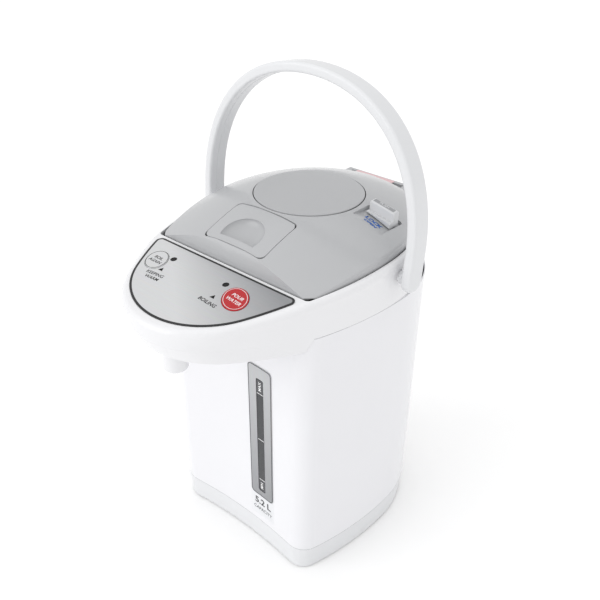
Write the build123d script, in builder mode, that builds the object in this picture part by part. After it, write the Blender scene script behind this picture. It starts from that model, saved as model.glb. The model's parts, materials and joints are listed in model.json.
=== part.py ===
"""Electric thermo pot with a hand pump in the lid and a motor pump in the base.

Millimetres, +Z up, spout towards -Y. The origin is on the vessel's axis, at the plane
on which the feet stand. Every piece is its own solid and its own STEP file.
"""

import os
from math import atan, cos, degrees, hypot, radians, sin, sqrt, tan

from build123d import *

os.makedirs("parts", exist_ok=True)

# ---------------------------------------------------------------- driving sizes
FIT = 0.3                 # free gap between pieces that move past each other
RUN = 0.05                # radial play of a shaft in its bore
TINY = 0.01
FAR = 400.0               # larger than the whole pot

# body, seen from above: round at the back, nearly straight sides, hollow front
BODY_R = 100.0            # half width, and radius of the back
BODY_FRONT = 111.0        # sides and front would meet this far ahead of the axis
BODY_SIDE_R = 311.0       # radius of the slightly bowed sides
BODY_CORNER_R = 19.0      # front corners
BODY_DISH = 6.7           # the front wall is hollow by this much
BODY_WALL = 0.8
BASE_TOP = 27.0           # seam between base casing and body
BODY_TOP = 268.5          # seam between body and collar
BASE_INSET = 2.0          # the base narrows by this much down to its lower edge
BASE_WALL = 2.6
FOOT_R = 9.0
FOOT_ROUND = 0.6
FOOT_XY = ((BODY_R - 38, -78.0), (BODY_R / 2, BODY_R / 2 - 2))
BASE_FLOAT = 1.2          # lower edge of the base above the table
BASE_PLATE_T = 2.4        # the bottom plate's underside above the casing's lower edge
BASE_LEDGE = 12.0         # inner ledge on which the bottom plate lies
PLATE_SHEET_T = 2.0
VENT = (4.0, 46.0)        # slots in the bottom plate
VENT_COUNT = 5
VENT_PITCH = 9.0
VENT_XY = (22.0, -30.0)   # middle of the first slot

# collar: the white head casing with the beak
# outlines: half width, y of the widest place, y of the tip, nose radius, y of the back
RIM_OVAL = (BODY_R + 3.0, -22.0, -197.9, 78.0, BODY_R - 4.0)
SEAM_OVAL = (BODY_R - 1.5, -6.4, -196.9, 58.0, BODY_R + 1.0)
COVER_OVAL = (BODY_R - 4.5, -6.4, -190.5, 60.0, BODY_R - 2.0)
RIM_Z = 306.2             # top of the rim at the panel's back edge
RIM_SLOPE = 0.045         # rim rises towards the back
DECK_SLOPE = 0.12         # the beak's top falls faster than the rim
SEAM_Z = 268.8            # beak seam at the body's front corners
SEAM_SLOPE = 0.13         # it rises towards the tip
COVER_DROP = 13.0         # height of the beak cover
SEAM_Y = -101.0
COLLAR_WALL = 3.0
COVER_WALL = 2.4
RIM_ROUND = 5.0           # rounded shoulder around the rim and the beak

# lid
LID_INSET = 7.0           # lid edge inside the collar's upper edge
LID_GAP = 1.2
LID_FRONT = -108.6
LID_CORNER_R = 3.2
LID_WALL = 2.6
LID_SKIRT_Z = 297.0
LID_TOP = 336.6           # flat top around the pump plate
DOME_TOP_R = 53.0         # flat as far as this from the plate's centre
DOME_MID = (77.0, 329.8)  # distance and height half way down
DOME_EDGE = (100.5, 320.6)
DOME_NARROW = 0.9         # the dome is narrower across than from front to back
LID_ROUND = 3.0
LID_ROLL = (10.6, 22.0)   # depth and height of the rounded front
LID_ROLL_Z = 306.0        # the front is upright up to this height
PLATE_Y = -10.2           # centre of the pump plate
PLATE_R = 47.9
PLATE_GAP = 0.8
PLATE_TOP = 337.4
PLATE_T = 3.0
PLATE_SKIRT = 14.0
PLATE_ROUND = 0.8
BELLOWS_R = (31.0, 26.0)  # outer wall at the folds
BELLOWS_WALL = 1.2
BELLOWS_FOLDS = 5
BELLOWS_END = 2.0
SPRING_R = 14.0
SPRING_WIRE_R = 0.9
SPRING_PITCH = 7.5
WELL_WALL = 2.0
WELL_FLOOR = 293.0
RECESS_FLOOR = 283.2      # the ledge that carries the vessel's flange
RECESS_FLOOR_T = 2.4
RECESS_WALL = 2.4
TRAY_Z = 288.0
TRAY_WALL = 2.0
TRAY_TOP = TRAY_Z + 10.0

# lid hinge
HINGE_Y = BODY_R - 14.0
HINGE_Z = 312.0
HINGE_PIN_R = 2.5
HINGE_HALF = 36.0
HINGE_NOSE_R = 6.5
EAR_X = 24.0
EAR_W = 10.0
EAR_R = 5.5
HINGE_BLOCK_Z = 302.0     # underside of the hinge block
HINGE_BLOCK_BACK = HINGE_Y + 13.0
HINGE_ROUND = 3.0

# latch plate in the lid
LATCH_HALF = 32.0
LATCH_FRONT = LID_FRONT + 4.0
LATCH_BACK = -62.0
LATCH_CORNER_R = 6.0
LATCH_GAP = 0.5
LATCH_EASE = 1.6          # the opening's corners are tighter than the plate's
LATCH_T = 4.0
LATCH_PIN_Y = -65.5
LATCH_PIN_Z = 331.0
LATCH_REAR = 2.7          # plate behind the pin's axis
LATCH_BARREL_R = 2.6
LATCH_PIN_R = 1.2
LATCH_FRONT_Z = 321.2     # the plate's top at its front edge
LATCH_SPRING_W = 10.0
LATCH_SPRING_R = 1.8
BOSS_W = 4.0
FINGER_Y = LATCH_FRONT + 5.0    # straight edge of the half-moon finger recess
FINGER_BOWL = (19.5, 19.0, 8.0)  # half width, half length and depth
FINGER_BACK = 6.0         # the bowl's middle lies behind its straight edge
FINGER_TILT = 17.0        # degrees, as the lid's top slopes there
BOLT_W = 24.0
BOLT_T = 4.0
BOLT_Z = 300.6
BOLT_REACH = 4.0
BOLT_BACK = -84.0

# pump lock beside the plate
LOCK_X = 66.5
LOCK_W = 24.0
LOCK_D = 12.0
LOCK_Y = 4.5
LOCK_TOP = 338.4          # top of the slider at its middle
LOCK_TRAVEL = 5.5
LOCK_LEAN = 12.0          # degrees; the slider's top follows the dome outwards
LOCK_RECESS_Y = (-18.0, 14.5)
LOCK_SIDE = 2.5           # recess beyond the slider, each side
LOCK_CORNER_R = 3.0
LOCK_ROUND = 1.2
LOCK_DEPTH = 3.6
LOCK_RAMP = 13.0          # the recess floor rises to the front over this length
LOCK_STEM = (3.0, 1.6)    # half width and half depth of the slider's stem
LOCK_STEM_BACK = 3.6      # the stem stands behind the slider's middle
LOCK_FOOT = 5.0           # the slider's foot reaches this far ahead of its top
LOCK_STEP = 8.0           # the foot's top below the slider's top
LOCK_DRAFT = 0.8          # the slider's front face leans back by this much
LOCK_LIFT = 1.4           # slider above the recess floor
LOCK_STEM_Z = 316.0

# control panel on the beak
PANEL_INSET = 9.0
PANEL_BACK = -113.0
PANEL_T = 0.6
PANEL_EDGE = 1.9
DISPENSE_XY = (37.7, -139.0)
DISPENSE_OVAL = (14.2, 10.4, 137.0)    # half length, half width and turn in degrees
WARM_XY = (-52.3, -138.2)
WARM_OVAL = (12.2, 9.5, 123.0)
BUTTON_GAP = 0.35
BUTTON_RISE = 0.5
BUTTON_TRAVEL = 1.2
LED_R = 2.8
DISPENSE_LED_XY = (18.6, -130.0)
WARM_LED_XY = (-41.4, -129.8)
PANEL_CORNER_R = 5.0
BOARD_DROP = 12.0
BOARD_T = 1.6
BOARD_Y = (-156.0, -118.0)
BOARD_HALF = 58.0
STEM_R = 3.0              # stem under a button
SWITCH_H = 3.0

# handle
HANDLE_Y = -17.0
HANDLE_Z = 296.0
HANDLE_T = 8.5
HANDLE_W = 20.0
HANDLE_GAP = 5.7          # between the collar and the leg
HANDLE_HALF = RIM_OVAL[0] + HANDLE_GAP + HANDLE_T
HANDLE_STRAIGHT = 22.4    # from the pivot to the start of the arch
HANDLE_ARCH = 126.8
HANDLE_ROUND = 2.6
HANDLE_LEAN = 4.5         # degrees towards the back
ARCH_FULLNESS = 0.61
PIVOT_R = 4.5
PIVOT_SEAT = 5.0          # depth of the pin in the leg
PIVOT_IN = RIM_OVAL[0] - 5.5    # inner end of the pin
BOSS_R = 6.0              # pad on the leg around the pin
BOSS_T = HANDLE_GAP - 0.9

# vessel and what is around it
VESSEL_R = BODY_R - 16.0
VESSEL_WALL = 0.8
VESSEL_FLOOR = 36.0
FLANGE_W = 5.0
FLANGE_T = 0.8
GASKET_LAP = 3.0          # gasket beyond the vessel's bore
PLUG_R = VESSEL_R - 6.0             # underside of the lid, inside the vessel's mouth
PLUG_Z = 280.0
STEAM_XY = (30.0, 34.0)
STEAM_R = 8.0
STEAM_H = 7.0
INSULATION_T = 2.5
INSULATION_Z = (66.0, 232.0)

# water gauge on the front
GAUGE_X = 28.0
GAUGE_W = 28.5
GAUGE_Z = (63.0, 217.0)
GAUGE_T = 0.8
GAUGE_CORNER_R = 4.0
WINDOW_W = 9.0
WINDOW_CORNER_R = 2.0
WINDOW_Z = (70.0, 204.0)
TUBE_Y = -94.0
TUBE_R = 4.0
TUBE_BORE = 2.8
LEVEL_TUBE_Z = (34.0, 262.0)

# spout and delivery tube
SPOUT_Y = -170.0
SPOUT_R = 10.0
SPOUT_BORE = 4.0
SPOUT_ROUND = 3.0
SPOUT_WALL = 3.0
SPOUT_TIP = 239.5
SPOUT_TOP = 270.0
DELIVERY_Z = 275.6
DELIVERY_BEND = 4.5

# motor pump in the base
PUMP_XY = (-38.0, -46.0)
MOTOR_R = 13.0
MOTOR_H = 12.6
HOUSING_R = 17.0
HOUSING_TOP = 30.0
HOUSING_WALL = 2.0
IMPELLER_R = 11.0
IMPELLER_H = 5.0
IMPELLER_GAP = 1.0
BLADES = 6
BLADE_T = 1.1
SHAFT_R = 1.5

# tie rods between base and collar
ROD_R = 2.0
ROD_XY = ((BODY_R - 14, -48.0), (BODY_R - 23.5, BODY_R - 53))
SCREW_R = 1.2
SCREW_L = 10.0
SCREW_HEAD_R = 2.6
SCREW_HEAD_H = 1.2

# power inlet at the back of the base
INLET_W = 34.0
INLET_H = 17.0
INLET_Z = 14.5
INLET_DEPTH = 14.0
INLET_WALL = 2.2
INLET_SUNK = 2.4          # the socket's mouth behind the casing's surface
INLET_PIN_R = 2.0
INLET_PIN_L = 7.0
INLET_PIN_X = 8.0

# control board in the base
BOARD_XY = (38.0, 22.0)
BOARD_SIZE = (62.0, 74.0)
BOARD_STAND = 6.0         # height above the bottom plate
BOARD_POST_R = 3.0
BOARD_POST_IN = 4.0       # posts inside the board's edges
BOARD_PARTS = (18.0, 14.0, 10.0)
BOARD_PARTS_XY = ((20.0, 8.0), (46.0, 44.0))

# heaters under and around the vessel
HEATER_XY = (24.0, 6.0)
HEATER_R = (40.0, 18.0)   # outer and inner radius of the heating ring
HEATER_T = 3.0
THERMOSTAT_R = 8.0
THERMOSTAT_H = 6.0
BAND_Z = (40.0, 62.0)
BAND_T = 1.6

# clips between the vessel and the tubes
CLIP_T = 6.0
CLIP_D = 16.0
CLIP_SIDE = 3.0

# ---------------------------------------------------------------- worked out
VESSEL_OUT = VESSEL_R + VESSEL_WALL
VESSEL_TOP = RECESS_FLOOR + FLANGE_T
TUBE_X = GAUGE_X
LID_EDGE = LID_INSET - LID_GAP
on_top = (Align.CENTER, Align.CENTER, Align.MIN)


def deck_z(y):
    """Height of the beak's top, ahead of the lid."""
    return RIM_Z + DECK_SLOPE * (y - PANEL_BACK)


def sloped_plane(y, z, slope):
    """A plane through (0, y, z) that rises by slope towards +Y, drawn in x and y."""
    return Plane(origin=(0, y, z), x_dir=(1, 0, 0), z_dir=(0, -slope, 1))


def slope_length(slope):
    """Length along a sloped plane for each millimetre of y."""
    return sqrt(1 + slope * slope)


def write(part, name):
    """Label one finished piece and write it as its own STEP file."""
    part.label = name
    export_step(part, f"parts/{name}.step")


# ---------------------------------------------------------------- outlines
def circles_meet(centre_1, radius_1, centre_2, radius_2):
    """Where two circles cross, on the right of the line from the first to the second."""
    dx, dy = centre_2[0] - centre_1[0], centre_2[1] - centre_1[1]
    apart = sqrt(dx * dx + dy * dy)
    along = (radius_1**2 - radius_2**2 + apart**2) / (2 * apart)
    aside = sqrt(radius_1**2 - along**2)
    return (centre_1[0] + (along * dx - aside * dy) / apart,
            centre_1[1] + (along * dy + aside * dx) / apart)


def body_face(inset=0.0):
    """The body's cross-section, moved inwards by inset."""
    side_x = BODY_R - BODY_SIDE_R
    half_front = side_x + sqrt(BODY_SIDE_R**2 - BODY_FRONT**2)
    dish_r = (half_front**2 + BODY_DISH**2) / (2 * BODY_DISH)
    dish_y = BODY_DISH - BODY_FRONT - dish_r
    back_r, side_r = BODY_R - inset, BODY_SIDE_R - inset
    front_y = dish_y + dish_r + inset
    corner_x, corner_y = circles_meet((side_x, 0), side_r, (0, dish_y), dish_r + inset)
    half_turn = atan(corner_y / (corner_x - side_x)) / 2
    mid_x, mid_y = side_x + side_r * cos(half_turn), side_r * sin(half_turn)
    with BuildSketch(mode=Mode.PRIVATE) as face:
        with BuildLine():
            ThreePointArc((back_r, 0), (0, back_r), (-back_r, 0))
            ThreePointArc((-back_r, 0), (-mid_x, mid_y), (-corner_x, corner_y))
            ThreePointArc((-corner_x, corner_y), (0, front_y), (corner_x, corner_y))
            ThreePointArc((corner_x, corner_y), (mid_x, mid_y), (back_r, 0))
        make_face()
        fillet(face.vertices().group_by(Axis.Y)[0], max(BODY_CORNER_R - inset, 1.0))
    return face.sketch


def oval_face(oval, inset=0.0, stretch=1.0, y_shift=0.0, cut_front=None, corner_r=0.0):
    """A head outline moved inwards by inset: round back, bowed sides and a round nose.

    stretch lengthens y for drawing on a sloped plane, whose y starts at y_shift.
    """
    half, mid_y, tip_y, nose_r, back_y = oval
    half, tip_y, nose_r, back_y = half - inset, tip_y + inset, nose_r - inset, back_y - inset
    nose_y = tip_y + nose_r
    side_r = (half**2 + (mid_y - nose_y) ** 2 - nose_r**2) / (2 * (half - nose_r))
    side_x = half - side_r
    turn = atan((mid_y - nose_y) / (side_r - half))
    join = (side_x + side_r * cos(turn), mid_y - side_r * sin(turn))
    mid = (side_x + side_r * cos(turn / 2), mid_y - side_r * sin(turn / 2))

    def at(x, y):
        return (x, (y - y_shift) * stretch)

    with BuildSketch(mode=Mode.PRIVATE) as face:
        with BuildLine():
            EllipticalCenterArc(at(0, mid_y), half, (back_y - mid_y) * stretch,
                                start_angle=0, arc_size=180)
            ThreePointArc(at(-half, mid_y), at(-mid[0], mid[1]), at(-join[0], join[1]))
            ThreePointArc(at(-join[0], join[1]), at(0, tip_y), at(*join))
            ThreePointArc(at(*join), at(*mid), at(half, mid_y))
        make_face()
        if cut_front is not None:
            with Locations((0, at(0, cut_front)[1] - FAR)):
                Rectangle(2 * FAR, 2 * FAR, mode=Mode.SUBTRACT)
            if corner_r:
                fillet(face.vertices().group_by(Axis.Y)[0], corner_r)
    return face.sketch


def oval_on(oval, plane_y, plane_z, slope, inset=0.0):
    """An outline and its sloped plane, stretched so that it keeps its size from above."""
    face = oval_face(oval, inset, stretch=slope_length(slope), y_shift=plane_y)
    return face, sloped_plane(plane_y, plane_z, slope)


def lid_face(inset):
    """The lid's outline with its straight front edge; inset is from the collar's edge."""
    return oval_face(RIM_OVAL, inset, cut_front=LID_FRONT - LID_INSET + inset,
                     corner_r=max(LID_CORNER_R + LID_INSET - inset, 1.0))


def loft_between(lower, lower_plane, upper, upper_plane):
    """A straight-sided solid between two outlines on two planes."""
    with BuildPart(mode=Mode.PRIVATE) as solid:
        with BuildSketch(lower_plane):
            add(lower)
        with BuildSketch(upper_plane):
            add(upper)
        loft(ruled=True)
    return solid.part


def above(plane):
    """A slab that fills everything over a plane."""
    with BuildPart(mode=Mode.PRIVATE) as solid:
        with BuildSketch(plane):
            Rectangle(2 * FAR, 2 * FAR)
        extrude(amount=FAR)
    return solid.part


def block(x, y, z):
    """A box between three (low, high) pairs."""
    with BuildPart(mode=Mode.PRIVATE) as solid:
        with Locations(((x[0] + x[1]) / 2, (y[0] + y[1]) / 2, (z[0] + z[1]) / 2)):
            Box(x[1] - x[0], y[1] - y[0], z[1] - z[0])
    return solid.part


def prism(face, low, high):
    """A face from above, between two heights."""
    with BuildPart(mode=Mode.PRIVATE) as solid:
        with BuildSketch(Plane.XY.offset(low)):
            add(face)
        extrude(amount=high - low)
    return solid.part


def rod(radius, low, high, x=0.0, y=0.0):
    """An upright cylinder between two heights."""
    with BuildPart(mode=Mode.PRIVATE) as solid:
        with Locations((x, y, (low + high) / 2)):
            Cylinder(radius, high - low)
    return solid.part


def bar(radius, left, right, y, z):
    """A cylinder along X between two x."""
    with BuildPart(mode=Mode.PRIVATE) as solid:
        with Locations(Location(((left + right) / 2, y, z), (0, 90, 0))):
            Cylinder(radius, right - left)
    return solid.part


def dome_solid(drop=0.0):
    """Everything under the lid's top surface, lowered by drop."""
    low = RECESS_FLOOR
    top = LID_TOP - drop
    edge = (DOME_EDGE[0], DOME_EDGE[1] - drop)
    far_edge = (edge[0] + 30, edge[1] - 14)
    with BuildPart(mode=Mode.PRIVATE) as solid:
        with BuildSketch(Plane.XZ.offset(-PLATE_Y)):
            with BuildLine():
                Line((0, low), (0, top))
                Line((0, top), (DOME_TOP_R, top))
                ThreePointArc((DOME_TOP_R, top), (DOME_MID[0], DOME_MID[1] - drop), edge)
                Line(edge, far_edge)
                Line(far_edge, (far_edge[0], low))
                Line((far_edge[0], low), (0, low))
            make_face()
        revolve(axis=Axis((0, PLATE_Y, 0), (0, 0, 1)))
        scale(by=(DOME_NARROW, 1, 1))
    return solid.part


def dome_z(x, y):
    """Height of the lid's top at a spot on its rounded part."""
    (r_1, z_1), (r_2, z_2), (r_3, z_3) = (DOME_TOP_R, LID_TOP), DOME_MID, DOME_EDGE
    low_1, low_2 = ((r_2**2 - r_1**2 + z_2**2 - z_1**2) / 2, (r_3**2 - r_2**2 + z_3**2 - z_2**2) / 2)
    across = (r_2 - r_1) * (z_3 - z_2) - (r_3 - r_2) * (z_2 - z_1)
    mid_r = (low_1 * (z_3 - z_2) - low_2 * (z_2 - z_1)) / across
    mid_z = ((r_2 - r_1) * low_2 - (r_3 - r_2) * low_1) / across
    out = hypot(x / DOME_NARROW, y - PLATE_Y) - mid_r
    return mid_z + sqrt((r_2 - mid_r) ** 2 + (z_2 - mid_z) ** 2 - out**2)


# ---------------------------------------------------------------- base
foot_spots = [(side * x, y) for side in (-1, 1) for x, y in FOOT_XY]
rod_spots = [(side * x, y) for side in (-1, 1) for x, y in ROD_XY]

plate_low = BASE_FLOAT + BASE_PLATE_T
plate_up = plate_low + PLATE_SHEET_T
with BuildPart() as screw_holes:
    with Locations(*[(x, y, plate_low) for x, y in rod_spots]):
        Cylinder(SCREW_HEAD_R, BASE_PLATE_T, align=(Align.CENTER, Align.CENTER, Align.MAX))
        Cylinder(SCREW_R, BASE_PLATE_T + SCREW_L, align=on_top)
casing_skin = loft_between(body_face(BASE_INSET), Plane.XY.offset(BASE_FLOAT),
                           body_face(), Plane.XY.offset(BASE_TOP))
casing_room = prism(body_face(BASE_INSET + BASE_WALL), BASE_FLOAT + BASE_PLATE_T, BASE_TOP)
casing_mouth = prism(body_face(BASE_INSET + BASE_WALL + BASE_LEDGE), 0, BASE_TOP)
inlet_hole = block((-INLET_W / 2, INLET_W / 2), (BODY_R - INLET_DEPTH, BODY_R + 9),
                   (INLET_Z - INLET_H / 2, INLET_Z + INLET_H / 2))
with BuildPart() as bottom_casing:
    add(casing_skin)
    add(casing_room, mode=Mode.SUBTRACT)
    add(casing_mouth, mode=Mode.SUBTRACT)
    add(inlet_hole, mode=Mode.SUBTRACT)
    add(screw_holes.part, mode=Mode.SUBTRACT)
write(bottom_casing.part, "bottom_casing")

plate_blank = prism(body_face(BASE_INSET + BASE_WALL + TINY), plate_low, plate_up)
with BuildPart() as bottom_plate:
    add(plate_blank)
    with Locations(*[(VENT_XY[0] + i * VENT_PITCH, VENT_XY[1], plate_low) for i in range(VENT_COUNT)]):
        Box(*VENT, 4 * PLATE_SHEET_T, mode=Mode.SUBTRACT)
    add(screw_holes.part, mode=Mode.SUBTRACT)
write(bottom_plate.part, "bottom_plate")

for number, (x, y) in enumerate(foot_spots, start=1):
    with BuildPart() as foot:
        with Locations((x, y, plate_low / 2)):
            Cylinder(FOOT_R, plate_low)
        fillet(foot.edges().group_by(Axis.Z)[0], FOOT_ROUND)
    write(foot.part, f"foot_{number}")

inlet_blank = block((-INLET_W / 2, INLET_W / 2), (BODY_R - INLET_DEPTH, BODY_R - INLET_SUNK),
                    (INLET_Z - INLET_H / 2, INLET_Z + INLET_H / 2))
inlet_room = block((-INLET_W / 2 + INLET_WALL, INLET_W / 2 - INLET_WALL),
                   (BODY_R - INLET_DEPTH + INLET_WALL, BODY_R),
                   (INLET_Z - INLET_H / 2 + INLET_WALL, INLET_Z + INLET_H / 2 - INLET_WALL))
with BuildPart() as power_inlet:
    add(inlet_blank)
    add(inlet_room, mode=Mode.SUBTRACT)
write(power_inlet.part, "power_inlet")

with BuildPart() as inlet_pins:
    with Locations(*[Location((x, BODY_R - INLET_DEPTH + INLET_WALL, INLET_Z), (-90, 0, 0))
                     for x in (-INLET_PIN_X, INLET_PIN_X)]):
        Cylinder(INLET_PIN_R, INLET_PIN_L, align=on_top)
write(inlet_pins.part, "inlet_pins")

board_z = plate_up + BOARD_STAND
posts = [(BOARD_XY[0] + sx * (BOARD_SIZE[0] / 2 - BOARD_POST_IN),
          BOARD_XY[1] + sy * (BOARD_SIZE[1] / 2 - BOARD_POST_IN), plate_up)
         for sx in (-1, 1) for sy in (-1, 1)]
with BuildPart() as control_board:
    with Locations((*BOARD_XY, board_z)):
        Box(*BOARD_SIZE, BOARD_T)
    with Locations(*[(x, y, board_z) for x, y in BOARD_PARTS_XY]):
        Box(*BOARD_PARTS, align=on_top)
    with Locations(*posts):
        Cylinder(BOARD_POST_R, BOARD_STAND, align=on_top)
write(control_board.part, "control_board")

# ---------------------------------------------------------------- body shell and gauge
shell_skin = prism(body_face(), BASE_TOP, BODY_TOP)
shell_room = prism(body_face(BODY_WALL), BASE_TOP, BODY_TOP)


def front_pad(width, heights, corner_r, thick, sunk):
    """A patch that follows the front wall, seen from the front as a rounded rectangle."""
    outer = prism(body_face(-thick), BASE_TOP, BODY_TOP)
    inner = prism(body_face(sunk), BASE_TOP, BODY_TOP)
    with BuildPart(mode=Mode.PRIVATE) as solid:
        with BuildSketch(Plane.XZ.offset(BODY_FRONT - 2 * BODY_DISH)):
            with Locations((GAUGE_X, (heights[0] + heights[1]) / 2)):
                RectangleRounded(width, heights[1] - heights[0], corner_r)
        extrude(amount=4 * BODY_DISH)
        add(outer, mode=Mode.INTERSECT)
        add(inner, mode=Mode.SUBTRACT)
    return solid.part


window_slot = front_pad(WINDOW_W, WINDOW_Z, WINDOW_CORNER_R, 2, 2 * BODY_WALL)
with BuildPart() as body_shell:
    add(shell_skin)
    add(shell_room, mode=Mode.SUBTRACT)
    add(window_slot, mode=Mode.SUBTRACT)
write(body_shell.part, "body_shell")

bezel_blank = front_pad(GAUGE_W, GAUGE_Z, GAUGE_CORNER_R, GAUGE_T, -TINY)
with BuildPart() as gauge_bezel:
    add(bezel_blank)
    add(window_slot, mode=Mode.SUBTRACT)
write(gauge_bezel.part, "gauge_bezel")

window_blank = front_pad(WINDOW_W, WINDOW_Z, WINDOW_CORNER_R, GAUGE_T / 2, BODY_WALL)
write(window_blank, "gauge_window")

tube_low, tube_high = LEVEL_TUBE_Z
with BuildPart() as level_tube:
    with Locations((TUBE_X, TUBE_Y, (tube_low + tube_high) / 2)):
        Cylinder(TUBE_R, tube_high - tube_low)
        Cylinder(TUBE_BORE, tube_high - tube_low, mode=Mode.SUBTRACT)
write(level_tube.part, "level_tube")

vessel_space = rod(VESSEL_OUT, 0, BODY_TOP)
for name, z in (("tube_clip_lower", tube_low + 3 * CLIP_T), ("tube_clip_upper", tube_high - CLIP_T)):
    with BuildPart() as clip:
        with Locations((0, TUBE_Y + CLIP_SIDE, z)):
            Box(2 * (TUBE_X + TUBE_R + CLIP_SIDE), CLIP_D, CLIP_T)
        add(vessel_space, mode=Mode.SUBTRACT)
        with Locations((TUBE_X, TUBE_Y, z), (-TUBE_X, TUBE_Y, z)):
            Cylinder(TUBE_R, 2 * CLIP_T, mode=Mode.SUBTRACT)
    write(clip.part, name)

# ---------------------------------------------------------------- vessel and heaters
spigot = rod(TUBE_R, HOUSING_TOP, VESSEL_FLOOR, *PUMP_XY)
spigot_bore = rod(TUBE_BORE, HOUSING_TOP - 1, VESSEL_FLOOR + 2, *PUMP_XY)
with BuildPart() as inner_vessel:
    with BuildSketch(Plane.XZ):
        with BuildLine():
            Polyline((0, VESSEL_FLOOR - VESSEL_WALL), (VESSEL_OUT, VESSEL_FLOOR - VESSEL_WALL),
                     (VESSEL_OUT, RECESS_FLOOR), (VESSEL_R + FLANGE_W, RECESS_FLOOR),
                     (VESSEL_R + FLANGE_W, VESSEL_TOP), (VESSEL_R, VESSEL_TOP),
                     (VESSEL_R, VESSEL_FLOOR), (0, VESSEL_FLOOR), close=True)
        make_face()
        inner_corner = [v for v in vertices() if abs(v.Z - VESSEL_FLOOR) < 1 and v.X > 1]
        fillet(inner_corner, 0.4)
    revolve(axis=Axis.Z)
    add(spigot)
    add(spigot_bore, mode=Mode.SUBTRACT)
write(inner_vessel.part, "inner_vessel")

heater_top = VESSEL_FLOOR - VESSEL_WALL
with BuildPart() as heater_plate:
    with Locations((*HEATER_XY, heater_top - HEATER_T / 2)):
        Cylinder(HEATER_R[0], HEATER_T)
        Cylinder(HEATER_R[1], HEATER_T, mode=Mode.SUBTRACT)
write(heater_plate.part, "heater_plate")

with BuildPart() as thermostat:
    with Locations((*HEATER_XY, heater_top - THERMOSTAT_H / 2)):
        Cylinder(THERMOSTAT_R, THERMOSTAT_H)
write(thermostat.part, "thermostat")

insulation_low, insulation_high = INSULATION_Z
with BuildPart() as insulation:
    with Locations((0, 0, (insulation_low + insulation_high) / 2)):
        Cylinder(VESSEL_OUT + FIT + INSULATION_T, insulation_high - insulation_low)
        Cylinder(VESSEL_OUT + FIT, insulation_high - insulation_low, mode=Mode.SUBTRACT)
    with Locations((0, -BODY_R, (insulation_low + insulation_high) / 2)):
        Box(2 * BODY_R, BODY_R, insulation_high, mode=Mode.SUBTRACT)
write(insulation.part, "insulation")

with BuildPart() as band_heater:
    with Locations((0, 0, (BAND_Z[0] + BAND_Z[1]) / 2)):
        Cylinder(VESSEL_OUT + BAND_T, BAND_Z[1] - BAND_Z[0])
        Cylinder(VESSEL_OUT, BAND_Z[1] - BAND_Z[0], mode=Mode.SUBTRACT)
    with Locations((0, -BODY_R, BAND_Z[1])):
        Box(2 * BODY_R, BODY_R, BAND_Z[1], mode=Mode.SUBTRACT)
write(band_heater.part, "band_heater")

# ---------------------------------------------------------------- motor pump
px, py = PUMP_XY
motor_top = plate_up + MOTOR_H
with BuildPart() as pump_motor:
    with Locations((px, py, plate_up)):
        Cylinder(MOTOR_R, MOTOR_H, align=on_top)
write(pump_motor.part, "pump_motor")

with BuildPart() as pump_housing:
    with Locations((px, py, (motor_top + HOUSING_TOP) / 2)):
        Cylinder(HOUSING_R, HOUSING_TOP - motor_top)
        Cylinder(HOUSING_R - HOUSING_WALL, HOUSING_TOP - motor_top - 2 * HOUSING_WALL,
                 mode=Mode.SUBTRACT)
    with Locations((px, py, HOUSING_TOP)):
        Cylinder(TUBE_BORE, 3 * HOUSING_WALL, mode=Mode.SUBTRACT)
    with Locations((px, py, motor_top)):
        Cylinder(SHAFT_R + RUN, 2 * HOUSING_WALL, align=on_top,
                 mode=Mode.SUBTRACT)
write(pump_housing.part, "pump_housing")

impeller_z = motor_top + HOUSING_WALL + IMPELLER_GAP
with BuildPart() as impeller:
    with Locations((px, py, impeller_z)):
        Cylinder(IMPELLER_R, BLADE_T, align=on_top)
        Cylinder(2 * SHAFT_R, IMPELLER_H, align=on_top)
    with Locations((px, py, motor_top + FIT)):
        Cylinder(SHAFT_R, impeller_z - motor_top, align=on_top)
    with Locations((px, py, impeller_z)):
        with PolarLocations(IMPELLER_R / 2 + BLADE_T, BLADES):
            Box(IMPELLER_R - 2 * BLADE_T, BLADE_T, IMPELLER_H, align=on_top)
write(impeller.part, "impeller")

outlet_z = (motor_top + HOUSING_TOP) / 2
with BuildPart() as delivery_tube:
    with BuildLine() as route:
        FilletPolyline((px, py - HOUSING_R, outlet_z), (px, TUBE_Y, outlet_z),
                       (-TUBE_X, TUBE_Y, outlet_z + 3 * DELIVERY_BEND), (-TUBE_X, TUBE_Y, DELIVERY_Z),
                       (0, SPOUT_Y + 6 * DELIVERY_BEND, DELIVERY_Z), (0, SPOUT_Y, DELIVERY_Z),
                       radius=DELIVERY_BEND)
    with BuildSketch(Plane(origin=route.line @ 0, z_dir=route.line % 0)):
        Circle(TUBE_R)
        Circle(TUBE_BORE, mode=Mode.SUBTRACT)
    sweep(path=route.line)
write(delivery_tube.part, "delivery_tube")

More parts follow.
